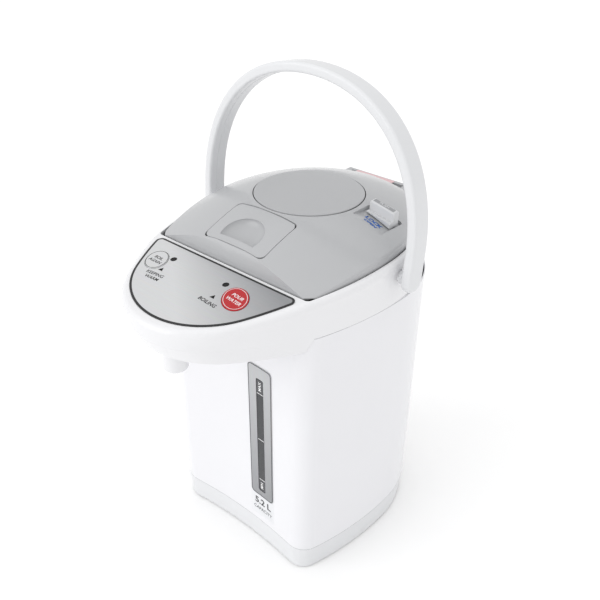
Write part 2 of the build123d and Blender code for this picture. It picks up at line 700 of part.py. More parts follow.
# ---------------------------------------------------------------- spout
with BuildPart() as spout:
    with Locations((0, SPOUT_Y, (SPOUT_TIP + SPOUT_TOP) / 2)):
        Cylinder(SPOUT_R, SPOUT_TOP - SPOUT_TIP)
    fillet(spout.edges().group_by(Axis.Z)[0], SPOUT_ROUND)
    with Locations((0, SPOUT_Y, SPOUT_TOP - SPOUT_WALL / 2)):
        Box(2 * (TUBE_R + SPOUT_WALL), 2 * (TUBE_R + SPOUT_WALL),
            DELIVERY_Z + TUBE_R + SPOUT_WALL / 2 - SPOUT_TOP + SPOUT_WALL / 2, align=on_top)
    with Locations((0, SPOUT_Y, SPOUT_TIP)):
        Cylinder(SPOUT_BORE, DELIVERY_Z - SPOUT_TIP, align=on_top,
                 mode=Mode.SUBTRACT)
    with Locations(Location((0, SPOUT_Y, DELIVERY_Z), (90, 0, 0))):
        Cylinder(TUBE_R, 3 * TUBE_R, align=(Align.CENTER, Align.CENTER, Align.MAX), mode=Mode.SUBTRACT)
write(spout.part, "spout")

# ---------------------------------------------------------------- collar and beak cover
rim_face, rim_plane = oval_on(RIM_OVAL, PANEL_BACK, RIM_Z, RIM_SLOPE)
seam_face, seam_plane = oval_on(SEAM_OVAL, SEAM_Y, SEAM_Z, -SEAM_SLOPE)
cover_face, cover_plane = oval_on(COVER_OVAL, SEAM_Y, SEAM_Z - COVER_DROP, -SEAM_SLOPE)
room_top = oval_on(RIM_OVAL, PANEL_BACK, RIM_Z - COLLAR_WALL, RIM_SLOPE, COLLAR_WALL)
room_low = oval_on(SEAM_OVAL, SEAM_Y, SEAM_Z, -SEAM_SLOPE, COLLAR_WALL)
collar_skin = loft_between(seam_face, seam_plane, rim_face, rim_plane)
collar_room = loft_between(*room_low, *room_top)
recess_block = prism(lid_face(LID_EDGE - RECESS_WALL), RECESS_FLOOR - RECESS_FLOOR_T, FAR)
recess_space = prism(lid_face(LID_EDGE), RECESS_FLOOR, FAR)
mouth = rod(VESSEL_OUT + FIT, RECESS_FLOOR - 2 * RECESS_FLOOR_T, RECESS_FLOOR)
body_below = block((-FAR, FAR), (-FAR, FAR), (0, BODY_TOP))
deck_plane = sloped_plane(PANEL_BACK, RIM_Z, DECK_SLOPE)
over_deck = above(deck_plane)
over_room_deck = above(sloped_plane(PANEL_BACK, RIM_Z - COLLAR_WALL, DECK_SLOPE))
behind_panel = block((-FAR, FAR), (PANEL_BACK, FAR), (0, FAR))
hinge_pocket = block((-HINGE_HALF - FIT, HINGE_HALF + FIT), (HINGE_Y - HINGE_NOSE_R - 6, FAR),
                     (HINGE_BLOCK_Z, FAR))
pivot_holes = bar(PIVOT_R, -HANDLE_HALF, HANDLE_HALF, HANDLE_Y, HANDLE_Z)
bolt_slot = block((-BOLT_W / 2 - FIT, BOLT_W / 2 + FIT), (LID_FRONT - 8, LID_FRONT + LID_WALL + 1),
                  (BOLT_Z - BOLT_T / 2 - FIT, BOLT_Z + BOLT_T / 2 + FIT))


def on_deck(xy, drop=0.0):
    """A plane on the beak's top at a spot, square to the deck."""
    x, y = xy
    plane = Plane(origin=(x, y, deck_z(y)), x_dir=(1, 0, 0), z_dir=(0, -DECK_SLOPE, 1))
    return plane.offset(-drop)


buttons = (("dispense_button", DISPENSE_XY, DISPENSE_OVAL), ("warm_button", WARM_XY, WARM_OVAL))
lights = (("dispense_light", DISPENSE_LED_XY), ("warm_light", WARM_LED_XY))

with BuildPart() as deck_holes:
    for _, xy, (half_length, half_width, turn) in buttons:
        with BuildSketch(on_deck(xy, 2 * COLLAR_WALL)):
            Ellipse(half_length + BUTTON_GAP, half_width + BUTTON_GAP, rotation=turn)
        extrude(amount=4 * COLLAR_WALL)
    for _, xy in lights:
        with BuildSketch(on_deck(xy, 2 * COLLAR_WALL)):
            Circle(LED_R)
        extrude(amount=4 * COLLAR_WALL)
with BuildPart() as deck_cut:
    add(over_deck)
    add(behind_panel, mode=Mode.SUBTRACT)
with BuildPart() as collar_hollow:
    add(collar_room)
    add(over_room_deck, mode=Mode.SUBTRACT)
    add(recess_block, mode=Mode.SUBTRACT)
with BuildPart() as collar:
    add(collar_skin)
    add(deck_cut.part, mode=Mode.SUBTRACT)
    top_faces = collar.faces().sort_by(lambda f: f.normal_at().Z)[-2:]
    shoulder = [e for f in top_faces for e in f.edges() if abs(e.center().Y - PANEL_BACK) > 1]
    fillet(shoulder, RIM_ROUND)
    add(body_below, mode=Mode.SUBTRACT)
    add(collar_hollow.part, mode=Mode.SUBTRACT)
    add(recess_space, mode=Mode.SUBTRACT)
    add(mouth, mode=Mode.SUBTRACT)
    add(hinge_pocket, mode=Mode.SUBTRACT)
    add(pivot_holes, mode=Mode.SUBTRACT)
    add(bolt_slot, mode=Mode.SUBTRACT)
    add(deck_holes.part, mode=Mode.SUBTRACT)
write(collar.part, "collar")

cover_skin = loft_between(cover_face, cover_plane, seam_face, seam_plane)
cover_room_low = oval_on(COVER_OVAL, SEAM_Y, SEAM_Z - COVER_DROP + COVER_WALL, -SEAM_SLOPE, COVER_WALL)
cover_room_top = oval_on(SEAM_OVAL, SEAM_Y, SEAM_Z, -SEAM_SLOPE, COVER_WALL)
cover_room = loft_between(*cover_room_low, *cover_room_top)
body_column = prism(body_face(-FIT / 2), 0, FAR)
behind_cover = block((-FAR, FAR), (SEAM_Y, FAR), (0, FAR))
spout_hole = rod(SPOUT_R, SPOUT_TIP, SPOUT_TOP, 0, SPOUT_Y)
with BuildPart() as beak_cover:
    add(cover_skin)
    add(cover_room, mode=Mode.SUBTRACT)
    add(body_column, mode=Mode.SUBTRACT)
    add(behind_cover, mode=Mode.SUBTRACT)
    add(spout_hole, mode=Mode.SUBTRACT)
write(beak_cover.part, "beak_cover")


# ---------------------------------------------------------------- panel, buttons and board
def panel_face(inset):
    """The panel's outline for the sloping deck."""
    with BuildSketch(mode=Mode.PRIVATE) as face:
        add(oval_face(RIM_OVAL, PANEL_INSET + inset, stretch=slope_length(DECK_SLOPE),
                      y_shift=PANEL_BACK))
        with Locations((0, FAR - inset)):
            Rectangle(2 * FAR, 2 * FAR, mode=Mode.SUBTRACT)
        fillet(face.vertices().group_by(Axis.Y)[-1], PANEL_CORNER_R - inset)
    return face.sketch


with BuildPart() as control_panel:
    with BuildSketch(deck_plane):
        add(panel_face(PANEL_EDGE))
    extrude(amount=PANEL_T)
    add(deck_holes.part, mode=Mode.SUBTRACT)
write(control_panel.part, "control_panel")

with BuildPart() as panel_edge:
    with BuildSketch(deck_plane):
        add(panel_face(0))
        add(panel_face(PANEL_EDGE), mode=Mode.SUBTRACT)
    extrude(amount=PANEL_T)
write(panel_edge.part, "panel_edge")

stem_drop = BOARD_DROP - SWITCH_H - BUTTON_TRAVEL - FIT
for name, xy, (half_length, half_width, turn) in buttons:
    with BuildPart() as button:
        with BuildSketch(on_deck(xy, COLLAR_WALL)):
            Ellipse(half_length, half_width, rotation=turn)
        extrude(amount=COLLAR_WALL + PANEL_T + BUTTON_RISE)
        fillet(button.faces().sort_by(Axis.Z)[-1].edges(), BUTTON_RISE * 0.8)
        with BuildSketch(on_deck(xy, stem_drop)):
            Circle(STEM_R)
        extrude(amount=stem_drop)
    write(button.part, name)

for name, xy in lights:
    with BuildPart() as light:
        with BuildSketch(on_deck(xy, BOARD_DROP)):
            Circle(LED_R)
        extrude(amount=BOARD_DROP + PANEL_T)
    write(light.part, name)

board_centre = (0, (BOARD_Y[0] + BOARD_Y[1]) / 2)
with BuildPart() as panel_board:
    with BuildSketch(on_deck(board_centre, BOARD_DROP + BOARD_T)):
        Rectangle(2 * BOARD_HALF, BOARD_Y[1] - BOARD_Y[0])
    extrude(amount=BOARD_T)
    for _, xy, _ in buttons:
        with BuildSketch(on_deck(xy, BOARD_DROP + TINY)):
            Rectangle(2 * STEM_R + 1, 2 * STEM_R + 1)
        extrude(amount=SWITCH_H + TINY)
    for x in (-BOARD_HALF + 5, BOARD_HALF - 5):
        with BuildSketch(on_deck((x, BOARD_Y[1] - 5), BOARD_DROP + TINY)):
            Circle(STEM_R)
        extrude(amount=BOARD_DROP - COLLAR_WALL + TINY)
write(panel_board.part, "panel_board")

# ---------------------------------------------------------------- lid
dome = dome_solid()
lid_block = prism(lid_face(LID_INSET), LID_SKIRT_Z, LID_TOP + 9)
lid_room = prism(lid_face(LID_INSET + LID_WALL), 0, LID_TOP + 9)
under_dome = dome_solid(LID_WALL)
hinge_space = block((-HINGE_HALF - 2, HINGE_HALF + 2), (HINGE_Y - HINGE_NOSE_R - FIT, FAR), (0, FAR))
roll_y = LID_FRONT + LID_ROLL[0]
with BuildPart() as front_roll:
    with BuildSketch(Plane.YZ.offset(-FAR)):
        with Locations((roll_y, LID_ROLL_Z)):
            Ellipse(*LID_ROLL)
        with Locations((roll_y, 0)):
            Rectangle(LID_ROLL[0], 2 * LID_ROLL_Z, align=(Align.MAX, Align.CENTER))
            Rectangle(FAR, 2 * FAR, align=(Align.MIN, Align.CENTER))
    extrude(amount=2 * FAR)


def under_roll(depth):
    """The space behind the rounded front, this deep under its surface."""
    return front_roll.part.moved(Location((0, depth, -depth)))


with BuildPart() as lid_hollow:
    add(lid_room)
    add(under_dome, mode=Mode.INTERSECT)
    add(under_roll(LID_WALL), mode=Mode.INTERSECT)

well_in, well_out = PLATE_R + PLATE_GAP, PLATE_R + PLATE_GAP + WELL_WALL
well = rod(well_out, WELL_FLOOR - WELL_WALL, LID_TOP, 0, PLATE_Y)
well_room = rod(well_in, WELL_FLOOR, FAR, 0, PLATE_Y)


def latch_outline(grow, corner_r):
    """The latch plate's outline from above, its rear edge on the hinge pin."""
    with BuildSketch(mode=Mode.PRIVATE) as face:
        with Locations((0, (LATCH_FRONT + LATCH_BACK) / 2)):
            RectangleRounded(2 * (LATCH_HALF + grow), LATCH_BACK - LATCH_FRONT + 2 * grow, corner_r)
    return face.sketch


pin_end = LATCH_HALF + LATCH_GAP + BOSS_W
pin_bore = bar(LATCH_PIN_R, -pin_end, pin_end, LATCH_PIN_Y, LATCH_PIN_Z)
latch_opening = prism(latch_outline(LATCH_GAP, LATCH_CORNER_R - LATCH_EASE), TRAY_TOP, FAR)
boss_x = LATCH_HALF + LATCH_GAP
latch_bosses = [block((min(x), max(x)), (LATCH_PIN_Y - 4, LATCH_PIN_Y + 4), (LATCH_PIN_Z - 4, FAR))
                for x in ((boss_x, boss_x + BOSS_W), (-boss_x, -boss_x - BOSS_W))]
with BuildPart() as bosses:
    for item in latch_bosses:
        add(item)
    add(dome_solid(LID_WALL - TINY), mode=Mode.INTERSECT)

with BuildSketch() as lock_outline:
    with Locations((LOCK_X, (LOCK_RECESS_Y[0] + LOCK_RECESS_Y[1]) / 2)):
        RectangleRounded(LOCK_W + 2 * LOCK_SIDE, LOCK_RECESS_Y[1] - LOCK_RECESS_Y[0], LOCK_CORNER_R)
lock_recess = prism(lock_outline.sketch, TRAY_TOP, FAR)
lock_tub = prism(offset(lock_outline.sketch, WELL_WALL), TRAY_TOP, FAR)
lock_front = LOCK_RECESS_Y[0]
lock_lean = dome_z(LOCK_X + 1, lock_front) - dome_z(LOCK_X, lock_front)
ramp_axis = Axis((LOCK_X, lock_front, dome_z(LOCK_X, lock_front)), (1, 0, lock_lean))
ramp_turn = -degrees(atan(LOCK_DEPTH / LOCK_RAMP))
stem_x = (LOCK_X - LOCK_STEM[0], LOCK_X + LOCK_STEM[0])
stem_y = (LOCK_Y + LOCK_STEM_BACK - LOCK_STEM[1], LOCK_Y + LOCK_STEM_BACK + LOCK_STEM[1])
lock_slot = block((stem_x[0] - FIT, stem_x[1] + FIT), (stem_y[0] - LOCK_TRAVEL - FIT, stem_y[1] + FIT),
                  (TRAY_TOP, FAR))
with BuildPart() as lock_tray:
    add(lock_tub)
    add(dome_solid(LID_WALL / 2), mode=Mode.INTERSECT)
    add(dome_solid(LOCK_DEPTH + WELL_WALL), mode=Mode.SUBTRACT)
    add(dome_solid(WELL_WALL).rotate(ramp_axis, ramp_turn), mode=Mode.SUBTRACT)
with BuildPart() as lock_space:
    add(lock_recess)
    add(dome_solid(LOCK_DEPTH), mode=Mode.SUBTRACT)
    add(dome_solid().rotate(ramp_axis, ramp_turn), mode=Mode.SUBTRACT)

ear_block = [block((side * EAR_X - EAR_W / 2, side * EAR_X + EAR_W / 2),
                   (HINGE_Y - HINGE_NOSE_R - LID_WALL, HINGE_Y), (HINGE_Z - EAR_R, HINGE_Z + EAR_R))
             for side in (-1, 1)]
ear_round = [bar(EAR_R, side * EAR_X - EAR_W / 2, side * EAR_X + EAR_W / 2, HINGE_Y, HINGE_Z)
             for side in (-1, 1)]
ear_bore = bar(HINGE_PIN_R + RUN, -HINGE_HALF, HINGE_HALF, HINGE_Y, HINGE_Z)
rear_wall = block((-HINGE_HALF - 2, HINGE_HALF + 2),
                  (HINGE_Y - HINGE_NOSE_R - FIT - LID_WALL, HINGE_Y - HINGE_NOSE_R - FIT),
                  (LID_SKIRT_Z, FAR))
with BuildPart() as lid_rear:
    add(rear_wall)
    add(dome, mode=Mode.INTERSECT)
    add(lid_block, mode=Mode.INTERSECT)

with BuildPart() as lid_outer:
    add(lid_block)
    add(dome, mode=Mode.INTERSECT)
    add(front_roll.part, mode=Mode.INTERSECT)
    walls = [f for f in lid_outer.faces() if abs(f.normal_at().Z) < TINY and f.center().Y > roll_y]
    top_edges = [f.edges().sort_by(lambda e: e.center().Z)[-1] for f in walls]
    fillet(top_edges, LID_ROUND)
    add(lid_hollow.part, mode=Mode.SUBTRACT)
    add(well)
    add(dome, mode=Mode.INTERSECT)
    add(lock_tray.part)
    add(bosses.part)
    add(lid_rear.part)
    add(hinge_space, mode=Mode.SUBTRACT)
    add(well_room, mode=Mode.SUBTRACT)
    add(latch_opening, mode=Mode.SUBTRACT)
    add(lock_space.part, mode=Mode.SUBTRACT)
    add(lock_slot, mode=Mode.SUBTRACT)
    for item in ear_block + ear_round:
        add(item)
    add(ear_bore, mode=Mode.SUBTRACT)
    add(bolt_slot, mode=Mode.SUBTRACT)
    add(pin_bore, mode=Mode.SUBTRACT)
write(lid_outer.part, "lid_outer")

tray_face = lid_face(LID_INSET + LID_WALL + FIT)
tray_cut = block((-FAR, FAR), (HINGE_Y - HINGE_NOSE_R - LID_WALL - 2 * FIT, FAR), (0, FAR))
tray_blank = prism(tray_face, TRAY_Z, TRAY_TOP)
tray_room = prism(lid_face(LID_INSET + LID_WALL + FIT + TRAY_WALL), TRAY_Z + TRAY_WALL, TRAY_TOP)
tray_rear = block((-HINGE_HALF - 2, HINGE_HALF + 2),
                  (HINGE_Y - HINGE_NOSE_R - LID_WALL - 2 * FIT - TRAY_WALL, FAR), (TRAY_Z, TRAY_TOP))
plug = rod(PLUG_R, PLUG_Z, TRAY_Z)
plug_room = rod(PLUG_R - TRAY_WALL, PLUG_Z + TRAY_WALL, TRAY_Z + TRAY_WALL)
with BuildPart() as tray_back_wall:
    add(tray_rear)
    add(tray_blank, mode=Mode.INTERSECT)
with BuildPart() as lid_inner:
    add(tray_blank)
    add(tray_room, mode=Mode.SUBTRACT)
    add(tray_back_wall.part)
    add(tray_cut, mode=Mode.SUBTRACT)
    add(plug)
    add(plug_room, mode=Mode.SUBTRACT)
write(lid_inner.part, "lid_inner")

with BuildPart() as lid_gasket:
    with Locations((0, 0, (VESSEL_TOP + FIT + TRAY_Z) / 2)):
        Cylinder(VESSEL_R + GASKET_LAP, TRAY_Z - VESSEL_TOP - FIT)
        Cylinder(PLUG_R, TRAY_Z - VESSEL_TOP - FIT, mode=Mode.SUBTRACT)
write(lid_gasket.part, "lid_gasket")

with BuildPart() as steam_valve:
    with Locations((STEAM_XY[0], STEAM_XY[1], PLUG_Z)):
        Cylinder(STEAM_R, STEAM_H, align=(Align.CENTER, Align.CENTER, Align.MAX))
        Cylinder(STEAM_R - TRAY_WALL, STEAM_H - TRAY_WALL, align=(Align.CENTER, Align.CENTER, Align.MAX),
                 mode=Mode.SUBTRACT)
write(steam_valve.part, "steam_valve")

# ---------------------------------------------------------------- pump plate, bellows and spring
with BuildPart() as pump_plate:
    with Locations((0, PLATE_Y, PLATE_TOP)):
        Cylinder(PLATE_R, PLATE_SKIRT, align=(Align.CENTER, Align.CENTER, Align.MAX))
    fillet(pump_plate.edges().group_by(Axis.Z)[-1], PLATE_ROUND)
    with Locations((0, PLATE_Y, PLATE_TOP - PLATE_T)):
        Cylinder(PLATE_R - WELL_WALL, PLATE_SKIRT, align=(Align.CENTER, Align.CENTER, Align.MAX),
                 mode=Mode.SUBTRACT)
write(pump_plate.part, "pump_plate")

bellows_top = PLATE_TOP - PLATE_T
fold_h = (bellows_top - WELL_FLOOR - 2 * BELLOWS_END) / BELLOWS_FOLDS
wave = [(BELLOWS_R[i % 2], WELL_FLOOR + BELLOWS_END + i * fold_h / 2)
        for i in range(2 * BELLOWS_FOLDS + 1)]
outer_wall = [(BELLOWS_R[0], WELL_FLOOR)] + wave + [(BELLOWS_R[0], bellows_top)]
inner_wall = [(r - BELLOWS_WALL, z) for r, z in reversed(outer_wall)]
with BuildPart() as bellows:
    with BuildSketch(Plane.XZ.offset(-PLATE_Y)):
        with BuildLine():
            Polyline(*outer_wall, *inner_wall, close=True)
        make_face()
    revolve(axis=Axis((0, PLATE_Y, 0), (0, 0, 1)))
write(bellows.part, "bellows")

with BuildPart() as bellows_spring:
    with BuildLine() as coil:
        Helix(SPRING_PITCH, bellows_top - WELL_FLOOR - 2 * SPRING_WIRE_R - 2 * FIT, SPRING_R,
              center=(0, PLATE_Y, WELL_FLOOR + SPRING_WIRE_R + FIT))
    with BuildSketch(Plane(origin=coil.line @ 0, z_dir=coil.line % 0)):
        Circle(SPRING_WIRE_R)
    sweep(path=coil.line, is_frenet=True)
write(bellows_spring.part, "bellows_spring")

# ---------------------------------------------------------------- latch and bolt
latch_reach = hypot(LATCH_PIN_Y - LATCH_FRONT, LATCH_PIN_Z - LATCH_FRONT_Z)
barrel_half = LATCH_HALF - LATCH_CORNER_R
latch_barrel = bar(LATCH_BARREL_R, -barrel_half, barrel_half, LATCH_PIN_Y, LATCH_PIN_Z)
latch_bore = bar(LATCH_PIN_R + RUN, -LATCH_HALF, LATCH_HALF, LATCH_PIN_Y, LATCH_PIN_Z)
behind_pin = block((-FAR, FAR), (LATCH_PIN_Y + LATCH_REAR, FAR), (0, FAR))
spring_notch = block((-LATCH_SPRING_W / 2 - FIT, LATCH_SPRING_W / 2 + FIT),
                     (LATCH_PIN_Y - LATCH_BARREL_R, FAR), (0, LATCH_PIN_Z + LATCH_SPRING_R + RUN))


def half_bowl(grow):
    """The finger bowl behind its straight edge, tilted with the lid's top and grown by its wall."""
    half_width, half_length, depth = FINGER_BOWL
    with BuildPart(mode=Mode.PRIVATE) as solid:
        Sphere(1)
        scale(by=(half_width + grow, half_length + grow, depth + grow))
    centre = Location((0, FINGER_Y + FINGER_BACK, dome_z(0, FINGER_Y + FINGER_BACK)))
    tilted = solid.part.rotate(Axis.X, FINGER_TILT).moved(centre)
    with BuildPart(mode=Mode.PRIVATE) as rear_half:
        add(tilted)
        add(block((-FAR, FAR), (-FAR, FINGER_Y - grow), (0, FAR)), mode=Mode.SUBTRACT)
    return rear_half.part


with BuildPart() as latch_swing:
    with BuildSketch(Plane((0, LATCH_PIN_Y, LATCH_PIN_Z))) as swing_face:
        with Locations((0, -latch_reach / 2)):
            Rectangle(2 * LATCH_HALF, latch_reach)
        fillet(swing_face.vertices().group_by(Axis.Y)[0], LATCH_CORNER_R)
    revolve(axis=Axis((0, LATCH_PIN_Y, LATCH_PIN_Z), (1, 0, 0)))
with BuildPart() as latch_under:
    add(dome_solid(LATCH_T))
    add(under_roll(LATCH_T), mode=Mode.INTERSECT)
with BuildPart() as finger_tub:
    add(half_bowl(LATCH_T / 2))
    add(dome_solid(LATCH_T - TINY), mode=Mode.INTERSECT)
with BuildPart() as latch:
    add(prism(latch_outline(0, LATCH_CORNER_R), TRAY_TOP, FAR))
    add(dome, mode=Mode.INTERSECT)
    add(latch_under.part, mode=Mode.SUBTRACT)
    add(behind_pin, mode=Mode.SUBTRACT)
    add(finger_tub.part)
    add(half_bowl(0), mode=Mode.SUBTRACT)
    add(front_roll.part, mode=Mode.INTERSECT)
    add(latch_swing.part, mode=Mode.INTERSECT)
    add(latch_barrel)
    add(latch_bore, mode=Mode.SUBTRACT)
    add(spring_notch, mode=Mode.SUBTRACT)
write(latch.part, "latch")

write(bar(LATCH_PIN_R, -pin_end, pin_end, LATCH_PIN_Y, LATCH_PIN_Z), "latch_pin")

with BuildPart() as latch_spring:
    with Locations(Location((0, LATCH_PIN_Y, LATCH_PIN_Z), (0, 90, 0))):
        Cylinder(LATCH_SPRING_R, LATCH_SPRING_W)
        Cylinder(LATCH_PIN_R, LATCH_SPRING_W, mode=Mode.SUBTRACT)
write(latch_spring.part, "latch_spring")

with BuildPart() as latch_bolt:
    with Locations((0, (LID_FRONT - BOLT_REACH + BOLT_BACK) / 2, BOLT_Z)):
        Box(BOLT_W, BOLT_BACK - LID_FRONT + BOLT_REACH, BOLT_T)
    chamfer(latch_bolt.faces().sort_by(Axis.Y)[0].edges().sort_by(Axis.Z)[0], BOLT_T / 2)
write(latch_bolt.part, "latch_bolt")

# ---------------------------------------------------------------- lock slider
lock_rise = tan(radians(LOCK_LEAN)) * LOCK_W / 2
lock_root = dome_z(LOCK_X, LOCK_Y) - LOCK_DEPTH - LOCK_LIFT
lock_y = (LOCK_Y - LOCK_D / 2, LOCK_Y + LOCK_D / 2)
lock_top = LOCK_TOP + lock_rise
lock_fall = (cos(radians(LOCK_LEAN)), 0, -sin(radians(LOCK_LEAN)))
with BuildPart() as lock_slider:
    with BuildSketch(Plane.YZ.offset(LOCK_X - LOCK_W / 2)):
        with BuildLine():
            Polyline((lock_y[0], lock_root), (lock_y[1], lock_root), (lock_y[1], lock_top),
                     (lock_y[0] + LOCK_FOOT, lock_top),
                     (lock_y[0] + LOCK_FOOT - LOCK_DRAFT, lock_top - LOCK_STEP),
                     (lock_y[0], lock_top - LOCK_STEP), close=True)
        make_face()
    extrude(amount=LOCK_W / lock_fall[0], dir=lock_fall)
    fillet(lock_slider.faces().sort_by(Axis.Z)[-1].edges(), LOCK_ROUND)
    add(dome_solid(LOCK_DEPTH - LOCK_LIFT), mode=Mode.SUBTRACT)
    add(block(stem_x, stem_y, (LOCK_STEM_Z, dome_z(LOCK_X, LOCK_Y))))
write(lock_slider.part, "lock_slider")

# ---------------------------------------------------------------- hinge
with BuildPart() as hinge_block:
    with BuildSketch(Plane.YZ.offset(-HINGE_HALF)):
        with BuildLine():
            Polyline((HINGE_Y, HINGE_BLOCK_Z), (HINGE_BLOCK_BACK, HINGE_BLOCK_Z),
                     (HINGE_BLOCK_BACK, HINGE_Z + HINGE_NOSE_R), (HINGE_Y, HINGE_Z + HINGE_NOSE_R))
            ThreePointArc((HINGE_Y, HINGE_Z + HINGE_NOSE_R), (HINGE_Y - HINGE_NOSE_R, HINGE_Z),
                          (HINGE_Y, HINGE_Z - HINGE_NOSE_R))
            Line((HINGE_Y, HINGE_Z - HINGE_NOSE_R), (HINGE_Y, HINGE_BLOCK_Z))
        make_face()
    extrude(amount=2 * HINGE_HALF)
    fillet(hinge_block.edges().filter_by(Axis.X).group_by(Axis.Y)[-1].sort_by(Axis.Z)[-1], HINGE_ROUND)
    with Locations(*[(side * EAR_X, HINGE_Y - HINGE_NOSE_R, HINGE_Z) for side in (-1, 1)]):
        Box(EAR_W + 2, 2 * (HINGE_NOSE_R + EAR_R + 1), 4 * HINGE_NOSE_R, mode=Mode.SUBTRACT)
    with Locations(Location((0, HINGE_Y, HINGE_Z), (0, 90, 0))):
        Cylinder(HINGE_PIN_R, 2 * HINGE_HALF - 2, mode=Mode.SUBTRACT)
write(hinge_block.part, "hinge_block")
write(bar(HINGE_PIN_R, -HINGE_HALF + 1, HINGE_HALF - 1, HINGE_Y, HINGE_Z), "hinge_pin")

# ---------------------------------------------------------------- handle and pivots
def arch_face(half, height):
    """One half-disc of the arch: straight legs under a rounded arch."""
    with BuildSketch(mode=Mode.PRIVATE) as face:
        with BuildLine():
            Bezier((half, HANDLE_STRAIGHT), (half, HANDLE_STRAIGHT + ARCH_FULLNESS * height),
                   (ARCH_FULLNESS * half, HANDLE_STRAIGHT + height), (0, HANDLE_STRAIGHT + height))
            Bezier((0, HANDLE_STRAIGHT + height), (-ARCH_FULLNESS * half, HANDLE_STRAIGHT + height),
                   (-half, HANDLE_STRAIGHT + ARCH_FULLNESS * height), (-half, HANDLE_STRAIGHT))
            Polyline((-half, HANDLE_STRAIGHT), (-half, -HANDLE_W / 2), (half, -HANDLE_W / 2),
                     (half, HANDLE_STRAIGHT))
        make_face()
    return face.sketch


with BuildPart() as handle:
    with BuildSketch(Plane.XZ):
        add(arch_face(HANDLE_HALF, HANDLE_ARCH))
        add(arch_face(HANDLE_HALF - HANDLE_T, HANDLE_ARCH - HANDLE_T), mode=Mode.SUBTRACT)
    extrude(amount=HANDLE_W / 2, both=True)
    fillet(handle.edges().filter_by(Axis.X).group_by(Axis.Z)[0], HANDLE_W / 2 - 1)
    along = [e for e in handle.edges() if abs(e.tangent_at(0.5).X) < 1 - TINY
             and abs(e.tangent_at(0.5).Y) < 1 - TINY]
    fillet(along, HANDLE_ROUND)
    for side in (-1, 1):
        with Locations(Location((side * (HANDLE_HALF - HANDLE_T), 0, 0), (0, side * 90, 0))):
            Cylinder(BOSS_R, 2 * BOSS_T)
        with Locations(Location((side * (HANDLE_HALF - HANDLE_T), 0, 0), (0, side * 90, 0))):
            Cylinder(PIVOT_R + RUN, 2 * PIVOT_SEAT, mode=Mode.SUBTRACT)

leaning = handle.part.rotate(Axis.X, -HANDLE_LEAN).moved(Location((0, HANDLE_Y, HANDLE_Z)))
write(leaning, "handle")

pin_in = PIVOT_IN
pin_out = HANDLE_HALF - HANDLE_T + PIVOT_SEAT - FIT
write(bar(PIVOT_R, pin_in, pin_out, HANDLE_Y, HANDLE_Z), "pivot_pin_right")
write(bar(PIVOT_R, -pin_out, -pin_in, HANDLE_Y, HANDLE_Z), "pivot_pin_left")

# ---------------------------------------------------------------- rods and screws
rod_top = RECESS_FLOOR - RECESS_FLOOR_T
with BuildPart() as tie_rods:
    with Locations(*[(x, y, plate_up) for x, y in rod_spots]):
        Cylinder(ROD_R, rod_top - plate_up, align=on_top)
    with Locations(*[(x, y, plate_up) for x, y in rod_spots]):
        Cylinder(SCREW_R, SCREW_L, align=on_top, mode=Mode.SUBTRACT)
write(tie_rods.part, "tie_rods")

with BuildPart() as case_screws:
    with Locations(*[(x, y, plate_low) for x, y in rod_spots]):
        Cylinder(SCREW_HEAD_R, SCREW_HEAD_H, align=(Align.CENTER, Align.CENTER, Align.MAX))
        Cylinder(SCREW_R, plate_up - plate_low + SCREW_L, align=on_top)
write(case_screws.part, "case_screws")

# ---------------------------------------------------------------- elbow from vessel to gauge tube
elbow_z = (LEVEL_TUBE_Z[0] + BASE_TOP) / 2 - TUBE_R
elbow_y = -66.0
with BuildPart() as gauge_elbow:
    with BuildLine() as bend:
        FilletPolyline((TUBE_X, TUBE_Y, LEVEL_TUBE_Z[0]), (TUBE_X, TUBE_Y, elbow_z),
                       (TUBE_X, elbow_y, elbow_z), (TUBE_X, elbow_y, VESSEL_FLOOR - VESSEL_WALL),
                       radius=TUBE_R + 1)
    with BuildSketch(Plane(origin=bend.line @ 0, z_dir=bend.line % 0)):
        Circle(TUBE_R)
        Circle(TUBE_BORE, mode=Mode.SUBTRACT)
    sweep(path=bend.line)
write(gauge_elbow.part, "gauge_elbow")
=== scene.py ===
"""Electric thermo pot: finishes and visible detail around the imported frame.

The frame is in metres, with +Z up and the spout towards -Y. Lengths here are in millimetres and
are turned to metres by MM, unless a name ends in _M.
"""

import json
import math

import bpy
from mathutils import Matrix, Vector


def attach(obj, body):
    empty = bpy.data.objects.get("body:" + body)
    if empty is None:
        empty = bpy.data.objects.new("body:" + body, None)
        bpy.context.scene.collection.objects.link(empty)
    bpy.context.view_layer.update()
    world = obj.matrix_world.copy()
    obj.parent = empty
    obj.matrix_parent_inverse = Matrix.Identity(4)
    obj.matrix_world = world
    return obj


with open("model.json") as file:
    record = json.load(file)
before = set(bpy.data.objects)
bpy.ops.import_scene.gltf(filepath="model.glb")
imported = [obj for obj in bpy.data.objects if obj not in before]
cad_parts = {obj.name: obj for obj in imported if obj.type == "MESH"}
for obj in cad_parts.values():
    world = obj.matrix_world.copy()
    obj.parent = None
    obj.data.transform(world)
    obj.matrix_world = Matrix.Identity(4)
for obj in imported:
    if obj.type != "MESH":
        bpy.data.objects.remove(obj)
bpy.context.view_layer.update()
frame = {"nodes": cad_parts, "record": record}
nodes = frame["nodes"]
MM = 0.001

# ---------------------------------------------------------------- material helpers
MOULD_GRAIN = 0.8         # real mould grain is about a tenth of this and too fine to show
GRAIN_DEPTH_M = 0.0002
DRIFT_SCALE = 18.0        # colour and gloss drift in patches about 55 mm wide
FILM_ROUGHNESS = 0.34
HAIR_LONG = 25.0          # hairlines 40 mm long and 0.6 mm wide, coarser than real ones, to show
HAIR_FINE = 1600.0
HAIR_TINT = 0.12
HAIR_BUMP = 0.06
HAIR_DEPTH_M = 0.0001


